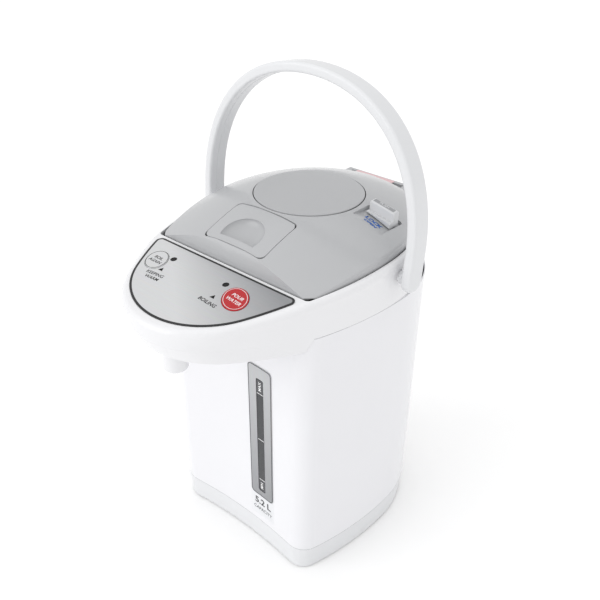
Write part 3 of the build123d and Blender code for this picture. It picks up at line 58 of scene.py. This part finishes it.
def linear(hex_colour):
    """An sRGB hex colour as linear RGBA."""
    parts = [int(hex_colour[i:i + 2], 16) / 255 for i in (1, 3, 5)]
    return tuple(c / 12.92 if c <= 0.04045 else ((c + 0.055) / 1.055) ** 2.4
                 for c in parts) + (1.0,)


def add_node(tree, kind, settings=None, **sockets):
    """Adds a node with its settings, input values and links; _6 is the input numbered 6."""
    item = tree.nodes.new(kind)
    for key, value in (settings or {}).items():
        setattr(item, key, value)
    for key, value in sockets.items():
        socket = item.inputs[int(key[1:]) if key[0] == "_" else key.replace("_", " ")]
        if isinstance(value, bpy.types.NodeSocket):
            tree.links.new(value, socket)
        else:
            socket.default_value = value
    return item


def shader(name, colour, roughness, **more):
    """A new material, its node tree, its main shader and its object coordinates."""
    material = bpy.data.materials.new(name)
    material.use_nodes = True
    tree = material.node_tree
    surface = tree.nodes["Principled BSDF"]
    surface.inputs["Base Color"].default_value = linear(colour)
    surface.inputs["Roughness"].default_value = roughness
    for key, value in more.items():
        surface.inputs[key.replace("_", " ")].default_value = value
    place = add_node(tree, "ShaderNodeTexCoord").outputs["Object"]
    return material, tree, surface, place


def grained(name, colour, rough, bump, grain_mm=MOULD_GRAIN, tint=0.02, stretch=(1, 1, 1), **more):
    """A finish with fine grain of a stated size, and colour and gloss that drift a little."""
    material, tree, surface, place = shader(name, colour, rough[0], **more)
    spread = add_node(tree, "ShaderNodeMapping", Vector=place, Scale=stretch)
    grain = add_node(tree, "ShaderNodeTexNoise", Vector=spread.outputs[0],
                     Scale=1 / (grain_mm * MM), Detail=3.0)
    drift = add_node(tree, "ShaderNodeTexNoise", Vector=spread.outputs[0],
                     Scale=DRIFT_SCALE, Detail=2.0)
    full = linear(colour)
    low = tuple(c * (1 - tint) for c in full[:3]) + (1.0,)
    tone = add_node(tree, "ShaderNodeMix", {"data_type": "RGBA"},
                    Factor=drift.outputs[0], _6=low, _7=full)
    tree.links.new(tone.outputs[2], surface.inputs["Base Color"])
    gloss = add_node(tree, "ShaderNodeMapRange", Value=drift.outputs[0],
                     To_Min=rough[0], To_Max=rough[1])
    tree.links.new(gloss.outputs[0], surface.inputs["Roughness"])
    dent = add_node(tree, "ShaderNodeBump", Height=grain.outputs[0],
                    Strength=bump, Distance=GRAIN_DEPTH_M)
    tree.links.new(dent.outputs[0], surface.inputs["Normal"])
    return material


def film_with_painted_sheen(name, first, last, along, ends_m, hair, metallic):
    """Aluminium-look film with fine hairlines, and a painted reflection and shade: silver that
    changes along a direction.
    """
    material, tree, surface, place = shader(name, first, FILM_ROUGHNESS, Metallic=metallic)
    drawn_out = add_node(tree, "ShaderNodeMapping", Vector=place, Scale=hair)
    lines = add_node(tree, "ShaderNodeTexNoise", Vector=drawn_out.outputs[0],
                     Scale=1.0, Detail=2.0)
    # Painted reflection and shade: the silver is mixed from two colours by where a point lies
    # along a direction.
    way = add_node(tree, "ShaderNodeVectorMath", {"operation": "DOT_PRODUCT"},
                   _0=place, _1=along)
    depth = add_node(tree, "ShaderNodeMapRange", Value=way.outputs[1],
                     From_Min=ends_m[0], From_Max=ends_m[1])
    silver = add_node(tree, "ShaderNodeMix", {"data_type": "RGBA"},
                      Factor=depth.outputs[0], _6=linear(first), _7=linear(last))
    drawn = add_node(tree, "ShaderNodeMix", {"data_type": "RGBA", "blend_type": "MULTIPLY"},
                     Factor=HAIR_TINT, _6=silver.outputs[2], _7=lines.outputs[1])
    tree.links.new(drawn.outputs[2], surface.inputs["Base Color"])
    dent = add_node(tree, "ShaderNodeBump", Height=lines.outputs[0],
                    Strength=HAIR_BUMP, Distance=HAIR_DEPTH_M)
    tree.links.new(dent.outputs[0], surface.inputs["Normal"])
    return material


# ---------------------------------------------------------------- finishes
# ABS, moulded in a polished tool: even colour, soft gloss and almost no grain.
white_abs = grained("white_abs_moulded", "#E8E8EA", rough=(0.16, 0.24), bump=0.01)
# ABS, moulded in a finely etched tool: the base is a trace greyer and more satin than the body.
base_abs = grained("base_abs_satin", "#E0E1E3", rough=(0.3, 0.4), bump=0.04)
# Sheet steel, sprayed and baked: smooth with a trace of orange peel about 2 mm wide.
body_paint = grained("body_steel_painted_white", "#E9E9EC", rough=(0.2, 0.26), bump=0.015,
                     grain_mm=2.0)
# ABS, moulded in a polished tool: the handle is painted a trace greyer than the body, as painted
# shade on its legs and arch.
handle_abs_painted_shade = grained("handle_painted_shade_moulded", "#DEDFE1", rough=(0.16, 0.24), bump=0.01)
# ABS, moulded light grey in a polished tool: the lid and the latch are glossy.
lid_abs = grained("lid_abs_gloss_grey", "#B4B5B7", rough=(0.16, 0.22), bump=0.01)
# ABS, moulded light grey with an etched face: the pump plate and the hinge block are more satin.
plate_abs = grained("plate_abs_satin_grey", "#AFB0B2", rough=(0.3, 0.38), bump=0.03)
# ABS, moulded light grey: the lock's slider and its word are painted a shade lighter than the lid,
# as painted light from the front.
slider_abs_painted_light = grained("slider_painted_light_satin_grey", "#D2D3D5", rough=(0.25, 0.32), bump=0.02)
# ABS, moulded light grey and etched deeper: the dull patch under the word on the slider.
patch_abs = grained("slider_patch_etched", "#97989B", rough=(0.45, 0.55), bump=0.05)
# ABS, moulded black and finely etched: matt, so that it hardly mirrors the light.
black_abs = grained("black_abs_matt", "#161617", rough=(0.4, 0.5), bump=0.05)
# Film, printed red and lacquered with acrylic: bright with a soft gloss.
red_film = grained("button_red_gloss", "#B4000F", rough=(0.2, 0.26), bump=0.01)
# Acrylic lens, dyed almost black: a small glossy dot while the lamp is off.
lens_dark = grained("lamp_lens_dark", "#060607", rough=(0.2, 0.26), bump=0.01,
                    Specular_IOR_Level=0.25)
# Painted shade: black bands laid in the narrow gaps of the lid stand in for the shade there and
# read as a clean dark line.
gap_painted_shade = grained("gap_painted_shade_black", "#0B0B0C", rough=(0.6, 0.7), bump=0.03,
                    Specular_IOR_Level=0.1)
# Painted shade: a dull grey band where the steel meets a white moulding, laid as a line of shade
# along the joint.
seam_painted_shade = grained("seam_painted_shade_grey", "#A3A4A7", rough=(0.5, 0.6), bump=0.02)
# EPDM rubber, moulded: dull and faintly grainy.
rubber = grained("foot_rubber_moulded", "#2B2B2C", rough=(0.6, 0.7), bump=0.1)
# Silicone rubber, moulded: milky and soft-looking.
silicone = grained("silicone_milky", "#E4E3DE", rough=(0.35, 0.45), bump=0.03)
# Wool felt, pressed: rough and fibrous, grain 1.2 mm.
felt = grained("insulation_felt", "#D8D4C8", rough=(0.85, 0.95), bump=0.6, grain_mm=1.2)
# Glass-fibre board, lacquered green: smooth with a dull shine.
board = grained("circuit_board_green", "#1D5A33", rough=(0.4, 0.5), bump=0.05)
# Acrylic, smoke-tinted and polished: the window and the level tube are dark and glassy.
smoke = grained("window_acrylic_smoke", "#333538", rough=(0.06, 0.1), bump=0.005, tint=0.3)
# Screen-printing inks, baked: flat and slightly satin, laid a twentieth of a millimetre thick.
ink_black = grained("ink_black_printed", "#0A0A0B", rough=(0.4, 0.5), bump=0.02,
                    Specular_IOR_Level=0.2)
ink_white = grained("ink_white_printed", "#F4F4F5", rough=(0.4, 0.5), bump=0.02)
ink_blue = grained("ink_blue_printed", "#1F5FB4", rough=(0.4, 0.5), bump=0.02)
ink_grey = grained("ink_grey_printed", "#4C4D50", rough=(0.4, 0.5), bump=0.02)
# Vinyl film labels, cast: smooth, a shade off the wall that carries them.
label_white = grained("label_vinyl_white", "#E2E3E6", rough=(0.25, 0.32), bump=0.01)
label_rose = grained("label_vinyl_rose", "#DDB9BC", rough=(0.3, 0.38), bump=0.01)
# Stainless steel, rolled and brushed: bright streaks twenty times as long as they are wide.
steel = grained("steel_brushed", "#B9BABC", rough=(0.25, 0.4), bump=0.05, grain_mm=1.0,
                tint=0.12, stretch=(1, 1, 0.05), Metallic=1.0)
# Brass, turned and plated: a warm, even gleam.
brass = grained("pin_brass_plated", "#C9AE6A", rough=(0.2, 0.3), bump=0.05, grain_mm=1.0,
                tint=0.12, Metallic=1.0)
# Aluminium-look film, brushed across, with a painted reflection: the panel's silver is painted
# bright at the left front and deeper to the right and the rear.
panel_film = film_with_painted_sheen("panel_film_brushed_painted_sheen", "#D8D9DA", "#97989B", along=(0.8, 1, 0),
                         ends_m=(-0.165, -0.065), hair=(HAIR_LONG, HAIR_FINE, HAIR_LONG),
                         metallic=0.35)
# Aluminium-look film, brushed from top to bottom, with painted shade: the gauge's silver is
# painted deeper towards the foot.
gauge_film = film_with_painted_sheen("gauge_film_brushed_painted_shade", "#A3A4A7", "#C3C4C6", along=(0, 0, 1),
                         ends_m=(0.06, 0.2), hair=(HAIR_FINE, HAIR_LONG, HAIR_LONG),
                         metallic=0.8)

finishes = {
    "white_plastic": white_abs, "base_plastic": base_abs, "body_paint": body_paint,
    "lid_grey": lid_abs, "plate_grey": plate_abs, "panel_silver": panel_film,
    "black_trim": black_abs, "black_plastic": black_abs, "button_red": red_film,
    "button_silver": panel_film, "light_dark": lens_dark, "clear_window": smoke,
    "steel": steel, "pin_brass": brass, "silicone": silicone, "foot_rubber": rubber,
    "felt": felt, "board_green": board,
}
# Nodes whose finish differs from the others of their slot.
own_finishes = {"gauge_bezel": gauge_film, "handle": handle_abs_painted_shade, "lock_slider": slider_abs_painted_light}
slot_of = {entry["node"]: entry["material_slot"] for entry in frame["record"]["subparts"]}

WELD_M = 0.00001
CREASE = math.radians(28)


def smooth_node(obj):
    """Joins a node's loose triangles for shading and keeps its edges crisp."""
    for face in obj.data.polygons:
        face.use_smooth = True
    weld = obj.modifiers.new("weld", "WELD")
    weld.merge_threshold = WELD_M
    split = obj.modifiers.new("crisp_edges", "EDGE_SPLIT")
    split.split_angle = CREASE
    even = obj.modifiers.new("even_shading", "WEIGHTED_NORMAL")
    even.keep_sharp = True


for name, obj in nodes.items():
    obj.data.materials.clear()
    obj.data.materials.append(own_finishes.get(name, finishes[slot_of[name]]))
    smooth_node(obj)

# ---------------------------------------------------------------- modelling helpers
PRINT_T = 0.05            # thickness of an ink
PRINT_LIFT = 0.01         # a print's gap to the wall that carries it
CAPITAL_SHARE = 0.69      # a capital's height as a share of the type's size
LETTER_STEPS = 4
LETTER_WELD_M = 0.000002
RING_STEPS = 144
CORNER_STEPS = 6
SEAM_STEPS = 720
SEAM_START_R = 200.0      # a seam's band starts this wide, outside every wall
POINTER_SIDE = 4.6
SIDE_OVER_RADIUS = 1.732  # of a triangle with equal sides


def place_frame(spot, across=(1, 0, 0), up=(0, 1, 0)):
    """A place in millimetres with the directions of a piece's own x and y."""
    x_axis = Vector(across).normalized()
    z_axis = x_axis.cross(Vector(up)).normalized()
    turned = Matrix((x_axis, z_axis.cross(x_axis), z_axis)).transposed().to_4x4()
    return Matrix.Translation(Vector(spot) * MM) @ turned


def start():
    """Nothing selected before a piece is begun."""
    bpy.ops.object.select_all(action="DESELECT")


def settle(obj, name, body, material):
    """Names a finished piece, brings its origin to the world's and lets it ride."""
    obj.name = name
    bpy.ops.object.transform_apply(location=True, rotation=True, scale=True)
    obj.data.materials.clear()
    obj.data.materials.append(material)
    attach(obj, body)


def thicken(high_mm):
    """In edit mode: lifts a flat face or ring to a closed slab."""
    bpy.ops.mesh.select_all(action="SELECT")
    bpy.ops.mesh.extrude_region_move(TRANSFORM_OT_translate={"value": (0, 0, high_mm * MM)})
    bpy.ops.mesh.select_all(action="SELECT")
    bpy.ops.mesh.normals_make_consistent(inside=False)


def wrap(obj, node, high_mm, lift_mm):
    """Lays a flat mesh along its z on a CAD surface and gives it a thickness."""
    cling = obj.modifiers.new("cling", "SHRINKWRAP")
    cling.target = nodes[node]
    cling.wrap_method = "PROJECT"
    cling.use_project_z = True
    cling.use_positive_direction = cling.use_negative_direction = True
    cling.offset = lift_mm * MM
    shell = obj.modifiers.new("shell", "SOLIDIFY")
    shell.thickness = high_mm * MM
    shell.offset = 1
    bpy.ops.object.modifier_apply(modifier="cling")
    bpy.ops.object.modifier_apply(modifier="shell")


def words(name, text, high_mm, bold_mm, where, body, ink, narrow=1.0, onto=None,
          lift_mm=PRINT_LIFT):
    """Printed lettering, flat or laid on a surface; high_mm is the height of a capital."""
    start()
    bpy.ops.object.text_add()
    obj = bpy.context.object
    obj.data.body = text
    obj.data.size = high_mm * MM / CAPITAL_SHARE
    obj.data.offset = bold_mm * MM
    obj.data.align_x, obj.data.align_y = "CENTER", "CENTER"
    obj.data.resolution_u = LETTER_STEPS
    if onto is None:
        obj.data.extrude = PRINT_T * MM / 2
    obj.scale.x = narrow
    bpy.ops.object.convert(target="MESH")
    bpy.ops.object.transform_apply(location=True, rotation=True, scale=True)
    obj.matrix_world = where
    if onto is not None:
        bpy.ops.object.mode_set(mode="EDIT")
        bpy.ops.mesh.select_all(action="SELECT")
        bpy.ops.mesh.remove_doubles(threshold=LETTER_WELD_M)
        bpy.ops.object.mode_set(mode="OBJECT")
        wrap(obj, onto, PRINT_T, lift_mm)
    settle(obj, name, body, ink)


def oval_ring(name, half_long, half_wide, line_mm, where, body, material, high_mm=PRINT_T):
    """A printed oval line, or a flat ring."""
    start()
    bpy.ops.mesh.primitive_circle_add(vertices=RING_STEPS, radius=1, fill_type="NGON")
    obj = bpy.context.object
    obj.scale = (half_long * MM, half_wide * MM, 1)
    bpy.ops.object.transform_apply(scale=True)
    bpy.ops.object.mode_set(mode="EDIT")
    bpy.ops.mesh.select_all(action="SELECT")
    bpy.ops.mesh.inset(thickness=line_mm * MM)
    bpy.ops.mesh.delete(type="FACE")
    thicken(high_mm)
    bpy.ops.object.mode_set(mode="OBJECT")
    obj.matrix_world = where
    settle(obj, name, body, material)


def rounded_plate(name, width, height, corner, where, body, material, line_mm=None, onto=None,
                  cuts=0, high_mm=PRINT_T):
    """A thin plate with rounded corners, or only its outline, flat or laid on a surface.

    The cuts run from top to bottom and let the plate bend with the surface.
    """
    start()
    bpy.ops.mesh.primitive_plane_add(size=1)
    obj = bpy.context.object
    obj.scale = (width * MM, height * MM, 1)
    bpy.ops.object.transform_apply(scale=True)
    bpy.ops.object.mode_set(mode="EDIT")
    bpy.ops.mesh.select_all(action="SELECT")
    bpy.ops.mesh.bevel(offset=corner * MM, segments=CORNER_STEPS, affect="VERTICES")
    if line_mm:
        bpy.ops.mesh.select_all(action="SELECT")
        bpy.ops.mesh.inset(thickness=line_mm * MM)
        bpy.ops.mesh.delete(type="FACE")
    for number in range(cuts):
        cut_x = width * MM * ((number + 1) / (cuts + 1) - 0.5)
        bpy.ops.mesh.select_all(action="SELECT")
        bpy.ops.mesh.bisect(plane_co=(cut_x, 0, 0), plane_no=(1, 0, 0))
    if onto is None:
        thicken(high_mm)
    bpy.ops.object.mode_set(mode="OBJECT")
    obj.matrix_world = where
    if onto is not None:
        wrap(obj, onto, high_mm, PRINT_LIFT)
    settle(obj, name, body, material)


def pointer(name, where, body, ink):
    """A printed pointer with three equal sides."""
    start()
    bpy.ops.mesh.primitive_circle_add(vertices=3, radius=POINTER_SIDE * MM / SIDE_OVER_RADIUS,
                                      fill_type="NGON")
    obj = bpy.context.object
    bpy.ops.object.mode_set(mode="EDIT")
    thicken(PRINT_T)
    bpy.ops.object.mode_set(mode="OBJECT")
    obj.matrix_world = where
    settle(obj, name, body, ink)


def seam_band(name, node, z_mm, high_mm, thick_mm, body, material, fall=0.0, rear_cut=None):
    """A thin band pressed from all around onto a wall, level or falling to the front."""
    start()
    bpy.ops.mesh.primitive_cylinder_add(vertices=SEAM_STEPS, radius=SEAM_START_R * MM,
                                        depth=high_mm * MM, end_fill_type="NOTHING")
    obj = bpy.context.object
    obj.matrix_world = (Matrix.Translation((0, 0, z_mm * MM))
                        @ Matrix.Rotation(math.atan(fall), 4, "X"))
    cling = obj.modifiers.new("cling", "SHRINKWRAP")
    cling.target = nodes[node]
    cling.wrap_method = "PROJECT"
    cling.use_negative_direction, cling.use_positive_direction = True, False
    bpy.ops.object.modifier_apply(modifier="cling")
    if rear_cut is not None:
        bpy.ops.object.mode_set(mode="EDIT")
        bpy.ops.mesh.select_all(action="SELECT")
        bpy.ops.mesh.bisect(plane_co=(0, rear_cut * MM, 0), plane_no=(0, 1, 0), clear_outer=True)
        bpy.ops.object.mode_set(mode="OBJECT")
    shell = obj.modifiers.new("shell", "SOLIDIFY")
    shell.thickness, shell.offset = thick_mm * MM, 1
    bpy.ops.object.modifier_apply(modifier="shell")
    settle(obj, name, body, material)


# ---------------------------------------------------------------- prints on the control panel
DECK_Y = -113.0           # the panel's rear edge, its height there and its fall to the front
DECK_Z = 306.2
DECK_FALL = 0.12
DECK_NORMAL = Vector((0, -DECK_FALL, 1)).normalized()
FILM_TOP = 0.6            # the panel's face and the buttons' faces above the beak's top
BUTTON_TOP = 1.1
POUR_XY = (37.7, -139.0)
POUR_RING = (12.9, 9.3, 0.35)     # half length, half width and line
POUR_RING_TURN = 137
AGAIN_XY = (-52.3, -138.2)
AGAIN_RING = (11.9, 9.2, 0.4)
AGAIN_RING_TURN = 123
KEEP_POINTER_XY = (-38.7, -145.3)
BOIL_POINTER_XY = (21.7, -146.7)
# A row of words: name, letters, height of a capital, added weight, x, y and turn in degrees.
POUR_WORDS = (("pour_words_upper", "POUR", 3.2, 0.03, 38.0, -136.4, -5),
              ("pour_words_lower", "WATER", 3.2, 0.03, 38.6, -141.8, -5))
AGAIN_WORDS = (("again_words_upper", "BOIL", 3.0, 0.05, -52.4, -135.8, 0),
               ("again_words_lower", "AGAIN", 3.0, 0.05, -51.8, -140.6, 0))
KEEP_WORDS = (("keep_words_upper", "KEEPING", 3.2, 0.05, -38.0, -152.3, 4),
              ("keep_words_lower", "WARM", 3.2, 0.05, -36.4, -157.2, 4))
BOIL_WORDS = (("boil_words", "BOILING", 3.4, 0.08, 22.8, -153.6, -4),)


def on_deck(x, y, turn=0, high=FILM_TOP):
    """A place on the panel, turned in degrees."""
    spot = Vector((x, y, DECK_Z + DECK_FALL * (y - DECK_Y))) + DECK_NORMAL * (high + PRINT_T / 2)
    flat = Vector((math.cos(math.radians(turn)), math.sin(math.radians(turn)), 0))
    across = flat - DECK_NORMAL * flat.dot(DECK_NORMAL)
    return place_frame(spot, across, DECK_NORMAL.cross(across))


def deck_words(rows, body, ink, high):
    """Prints rows of words on the panel or on a button."""
    for name, text, high_mm, bold_mm, x, y, turn in rows:
        words(name, text, high_mm, bold_mm, on_deck(x, y, turn, high), body, ink)


oval_ring("pour_ring", *POUR_RING, on_deck(*POUR_XY, POUR_RING_TURN, BUTTON_TOP),
          "dispense_button", ink_white)
deck_words(POUR_WORDS, "dispense_button", ink_white, BUTTON_TOP)
oval_ring("again_ring", *AGAIN_RING, on_deck(*AGAIN_XY, AGAIN_RING_TURN, BUTTON_TOP),
          "warm_button", ink_black)
deck_words(AGAIN_WORDS, "warm_button", ink_black, BUTTON_TOP)
pointer("keep_pointer", on_deck(*KEEP_POINTER_XY), "housing", ink_black)
deck_words(KEEP_WORDS, "housing", ink_black, FILM_TOP)
pointer("boil_pointer", on_deck(*BOIL_POINTER_XY), "housing", ink_black)
deck_words(BOIL_WORDS, "housing", ink_black, FILM_TOP)

# ---------------------------------------------------------------- prints and labels on the front
FRONT_Y = -108.0          # prints are pressed onto the hollow front wall from this plane
GAUGE_X = 28.0
GAUGE_W = 28.5
GAUGE_Z = (63.0, 217.0)   # lower and upper ends
GAUGE_CORNER = 4.0
OUTLINE_LESS = 0.3        # the outline is smaller than the bezel by this much
OUTLINE_LINE = 0.8
WINDOW_Z = (70.0, 204.0)
BLOCK = (8.2, 13.4, 1.6)  # width, height and corner of the blocks under MAX and MIN
MAX_Z = WINDOW_Z[1] - 8.3
MIN_Z = WINDOW_Z[0] + 7.2
BLOCK_LIFT = 0.15         # the words clear the blocks beneath them
TICK = (7.4, 0.6, 0.25)   # width, height and corner
TICK_T = 0.12
TICKS_Z = (WINDOW_Z[1] - 16.2, 134.8, WINDOW_Z[0] + 14.9)
LITRE_LABEL = (28.5, 26.0, 1.2)   # width, height and corner
LITRE_LABEL_Z = 48.6
LITRE_Z = 53.2
CAPACITY_Z = 43.6
LABEL_LIFT = 0.1          # the words clear the label beneath them


def on_front(x, z, turn=0):
    """A place before the front wall, facing the front and turned in degrees."""
    angle = math.radians(turn)
    return place_frame((x, FRONT_Y, z), (math.cos(angle), 0, math.sin(angle)),
                       (-math.sin(angle), 0, math.cos(angle)))


rounded_plate("gauge_outline", GAUGE_W - OUTLINE_LESS, GAUGE_Z[1] - GAUGE_Z[0] - OUTLINE_LESS,
              GAUGE_CORNER, on_front(GAUGE_X, sum(GAUGE_Z) / 2), "housing", ink_grey,
              line_mm=OUTLINE_LINE, onto="gauge_bezel", cuts=3)
for end, z in (("max", MAX_Z), ("min", MIN_Z)):
    rounded_plate(f"gauge_{end}_block", *BLOCK, on_front(GAUGE_X, z), "housing", ink_grey,
                  onto="gauge_window", cuts=2)
    words(f"gauge_{end}_word", end.upper(), 3.2, 0.1, on_front(GAUGE_X, z, 90), "housing",
          ink_white, onto="gauge_window", lift_mm=BLOCK_LIFT)
for number, z in enumerate(TICKS_Z, start=1):
    rounded_plate(f"gauge_tick_{number}", *TICK, on_front(GAUGE_X, z), "housing", ink_white,
                  onto="gauge_window", cuts=1, high_mm=TICK_T)
rounded_plate("litre_label", *LITRE_LABEL, on_front(GAUGE_X, LITRE_LABEL_Z), "housing",
              label_white, onto="body_shell", cuts=11)
words("litre_words", "5.2 L", 7.4, 0.3, on_front(GAUGE_X, LITRE_Z), "housing", ink_grey,
      onto="body_shell", lift_mm=LABEL_LIFT)
words("capacity_words", "CAPACITY", 3.8, 0.02, on_front(GAUGE_X, CAPACITY_Z), "housing", ink_grey,
      narrow=0.95, onto="body_shell", lift_mm=LABEL_LIFT)

# ---------------------------------------------------------------- painted shade in the seams and gaps
SEAM = (0.4, 0.03)        # height and thickness
BASE_SEAM_Z = 27.0 + 0.25         # just above the base's joint with the body
COLLAR_SEAM_Z = 268.5 - 0.3       # just below the body's joint with the collar
GAP_SHADE = (3.0, 0.6)         # height and thickness
GAP_SHADE_Z = 308.9
GAP_SHADE_END_Y = 60.0         # the band stops here, ahead of the hinge
RIM_FALL = 0.045
PLATE_RING = (48.6, 48.6, 0.6)    # half length, half width and line of the painted-shade ring round the plate
PLATE_RING_T = 1.2
PLATE_RING_SPOT = (0, -10.2, 335.2)

# Painted shade: grey bands along the body's joints with the base and the collar.
seam_band("base_seam", "body_shell", BASE_SEAM_Z, *SEAM, "housing", seam_painted_shade)
seam_band("collar_seam", "body_shell", COLLAR_SEAM_Z, *SEAM, "housing", seam_painted_shade)
# Painted shade: a black band in the lid's gap and a black ring in the pump plate's gap.
seam_band("lid_gap_shade", "lid_outer", GAP_SHADE_Z, *GAP_SHADE, "lid", gap_painted_shade, fall=RIM_FALL,
          rear_cut=GAP_SHADE_END_Y)
oval_ring("plate_ring", *PLATE_RING, place_frame(PLATE_RING_SPOT), "lid", gap_painted_shade,
          high_mm=PLATE_RING_T)

# ---------------------------------------------------------------- prints on lid, lock and hinge
HINGE_LABEL = (43.5, 8.0, 0.8)    # width, height and corner
HINGE_LABEL_SPOT = (-3.7, 91.5, 318.5)
HINGE_LABEL_T = 0.1
LOCK_WORD_SPOT = (65.5, -6.2, 345.0)      # above the lid, onto which the words are pressed
OPEN_WORD_SPOT = (66.5, -12.2, 345.0)
LID_PRINT_LIFT = 0.06
SLIDER_SPOT = (66.5, 7.0, 338.8)
SLIDER_ACROSS = (1, 0, -0.21)     # the slider's top falls outwards
SLIDER_PATCH = (21.0, 4.4, 0.6)
PATCH_LIFT = 0.08

rounded_plate("hinge_label", *HINGE_LABEL, place_frame(HINGE_LABEL_SPOT), "housing", label_rose,
              high_mm=HINGE_LABEL_T)
words("lock_word", "LOCK", 4.0, 0.25, place_frame(LOCK_WORD_SPOT), "lid", ink_blue,
      onto="lid_outer", lift_mm=LID_PRINT_LIFT)
words("open_word", "OPEN", 3.2, 0.2, place_frame(OPEN_WORD_SPOT), "lid", ink_blue,
      onto="lid_outer", lift_mm=LID_PRINT_LIFT)
rounded_plate("slider_patch", *SLIDER_PATCH, place_frame(SLIDER_SPOT, SLIDER_ACROSS),
              "lock_slider", patch_abs, onto="lock_slider")
words("slider_word", "PUSH", 2.8, 0.1, place_frame(SLIDER_SPOT, SLIDER_ACROSS), "lock_slider",
      slider_abs_painted_light, onto="lock_slider", lift_mm=PATCH_LIFT)

# ---------------------------------------------------------------- mould line on the handle
HANDLE_HALF = 117.2       # half width over the legs
HANDLE_T = 8.5
HANDLE_STRAIGHT = 22.4    # from the pivot to the start of the arch
HANDLE_ARCH = 126.8
ARCH_FULLNESS = 0.61
HANDLE_Y = -17.0
HANDLE_Z = 296.0
HANDLE_LEAN = 4.5         # degrees towards the back
LINE_SINK = 0.05          # the line's middle lies this deep in the handle's inner face
LINE_Y = -2.0
LINE_R = 0.28
LINE_STEPS = 24
LINE_FOOT = 6.0           # the line starts this far above the pivot
FOOT_PULL = 6.0           # reach of the curve's handles at the foot and at the arch's start
STRAIGHT_PULL = 8.0


def parting_line(name, body, material):
    """The fine raised line that a mould leaves along the handle's inner face."""
    start()
    bpy.ops.curve.primitive_bezier_curve_add()
    obj = bpy.context.object
    line = obj.data.splines[0]
    line.bezier_points.add(3)
    inset = HANDLE_T - LINE_SINK
    half, top = HANDLE_HALF - inset, HANDLE_STRAIGHT + HANDLE_ARCH - inset
    full = ARCH_FULLNESS * half
    foot, rise = LINE_FOOT, LINE_FOOT + FOOT_PULL
    bend, below = HANDLE_STRAIGHT, HANDLE_STRAIGHT - STRAIGHT_PULL
    above = HANDLE_STRAIGHT + ARCH_FULLNESS * (top - HANDLE_STRAIGHT)
    stops = (((half, foot), (half, foot), (half, rise)),
             ((half, bend), (half, below), (half, above)),
             ((0, top), (full, top), (-full, top)),
             ((-half, bend), (-half, above), (-half, below)),
             ((-half, foot), (-half, rise), (-half, foot)))
    for point, stop in zip(line.bezier_points, stops):
        point.handle_left_type = point.handle_right_type = "FREE"
        point.co, point.handle_left, point.handle_right = (
            Vector((x, LINE_Y, z)) * MM for x, z in stop)
    line.resolution_u = LINE_STEPS
    obj.data.dimensions = "3D"
    obj.data.bevel_depth = LINE_R * MM
    obj.data.bevel_resolution = 2
    obj.data.use_fill_caps = True
    bpy.ops.object.convert(target="MESH")
    obj.matrix_world = (Matrix.Translation(Vector((0, HANDLE_Y, HANDLE_Z)) * MM)
                        @ Matrix.Rotation(math.radians(-HANDLE_LEAN), 4, "X"))
    settle(obj, name, body, material)


parting_line("handle_line_inner", "handle", handle_abs_painted_shade)

# ---------------------------------------------------------------- floor, light and camera
FLOOR_SIZE_M = 30
FLOOR_DROP_M = 0.0002     # clear of the feet
SKY_POWER = 0.85
CAMERA_PLACE_M = Vector((0.3696, -0.4554, 0.5881))
CAMERA_AIM_M = Vector((-0.0016, -0.0190, 0.2308))
CAMERA_ROLL = math.radians(0.64)
CAMERA_LENS = 43.63
SENSOR_WIDTH = 36

bpy.ops.mesh.primitive_plane_add(size=FLOOR_SIZE_M, location=(0, 0, -FLOOR_DROP_M))
floor = bpy.context.object
floor.name = "floor"
# Paper, uncoated and white: dull, with a faint tooth.
floor.data.materials.append(grained("floor_paper_white", "#FFFFFF", rough=(0.85, 0.95),
                                    bump=0.01, grain_mm=3.0, tint=0.0))

world = bpy.data.worlds.new("studio")
bpy.context.scene.world = world
world.use_nodes = True
world.node_tree.nodes["Background"].inputs["Color"].default_value = linear("#FFFFFF")
world.node_tree.nodes["Background"].inputs["Strength"].default_value = SKY_POWER


def soft_sun(name, place, power, spread):
    """A broad, soft sun that shines from a place towards the pot; spread is in degrees."""
    data = bpy.data.lights.new(name, "SUN")
    data.energy = power
    data.angle = math.radians(spread)
    light = bpy.data.objects.new(name, data)
    light.location = place
    light.rotation_euler = (Vector((0, 0, 0)) - Vector(place)).to_track_quat("-Z", "Y").to_euler()
    bpy.context.scene.collection.objects.link(light)


soft_sun("sky_soft", (0.0, 0.0, 2.0), power=0.5, spread=80)
soft_sun("front_soft", (-0.9, -1.7, 0.75), power=0.8, spread=50)

ahead = (CAMERA_AIM_M - CAMERA_PLACE_M).normalized()
right = ahead.cross(Vector((0, 0, 1))).normalized()
up = right.cross(ahead)
right, up = (math.cos(CAMERA_ROLL) * right + math.sin(CAMERA_ROLL) * up,
             -math.sin(CAMERA_ROLL) * right + math.cos(CAMERA_ROLL) * up)
camera_data = bpy.data.cameras.new("camera")
camera_data.lens = CAMERA_LENS
camera_data.sensor_width = SENSOR_WIDTH
camera = bpy.data.objects.new("camera", camera_data)
camera.matrix_world = (Matrix.Translation(CAMERA_PLACE_M)
                       @ Matrix((right, up, -ahead)).transposed().to_4x4())
bpy.context.scene.collection.objects.link(camera)
bpy.context.scene.camera = camera
bpy.context.scene.view_settings.view_transform = "Standard"
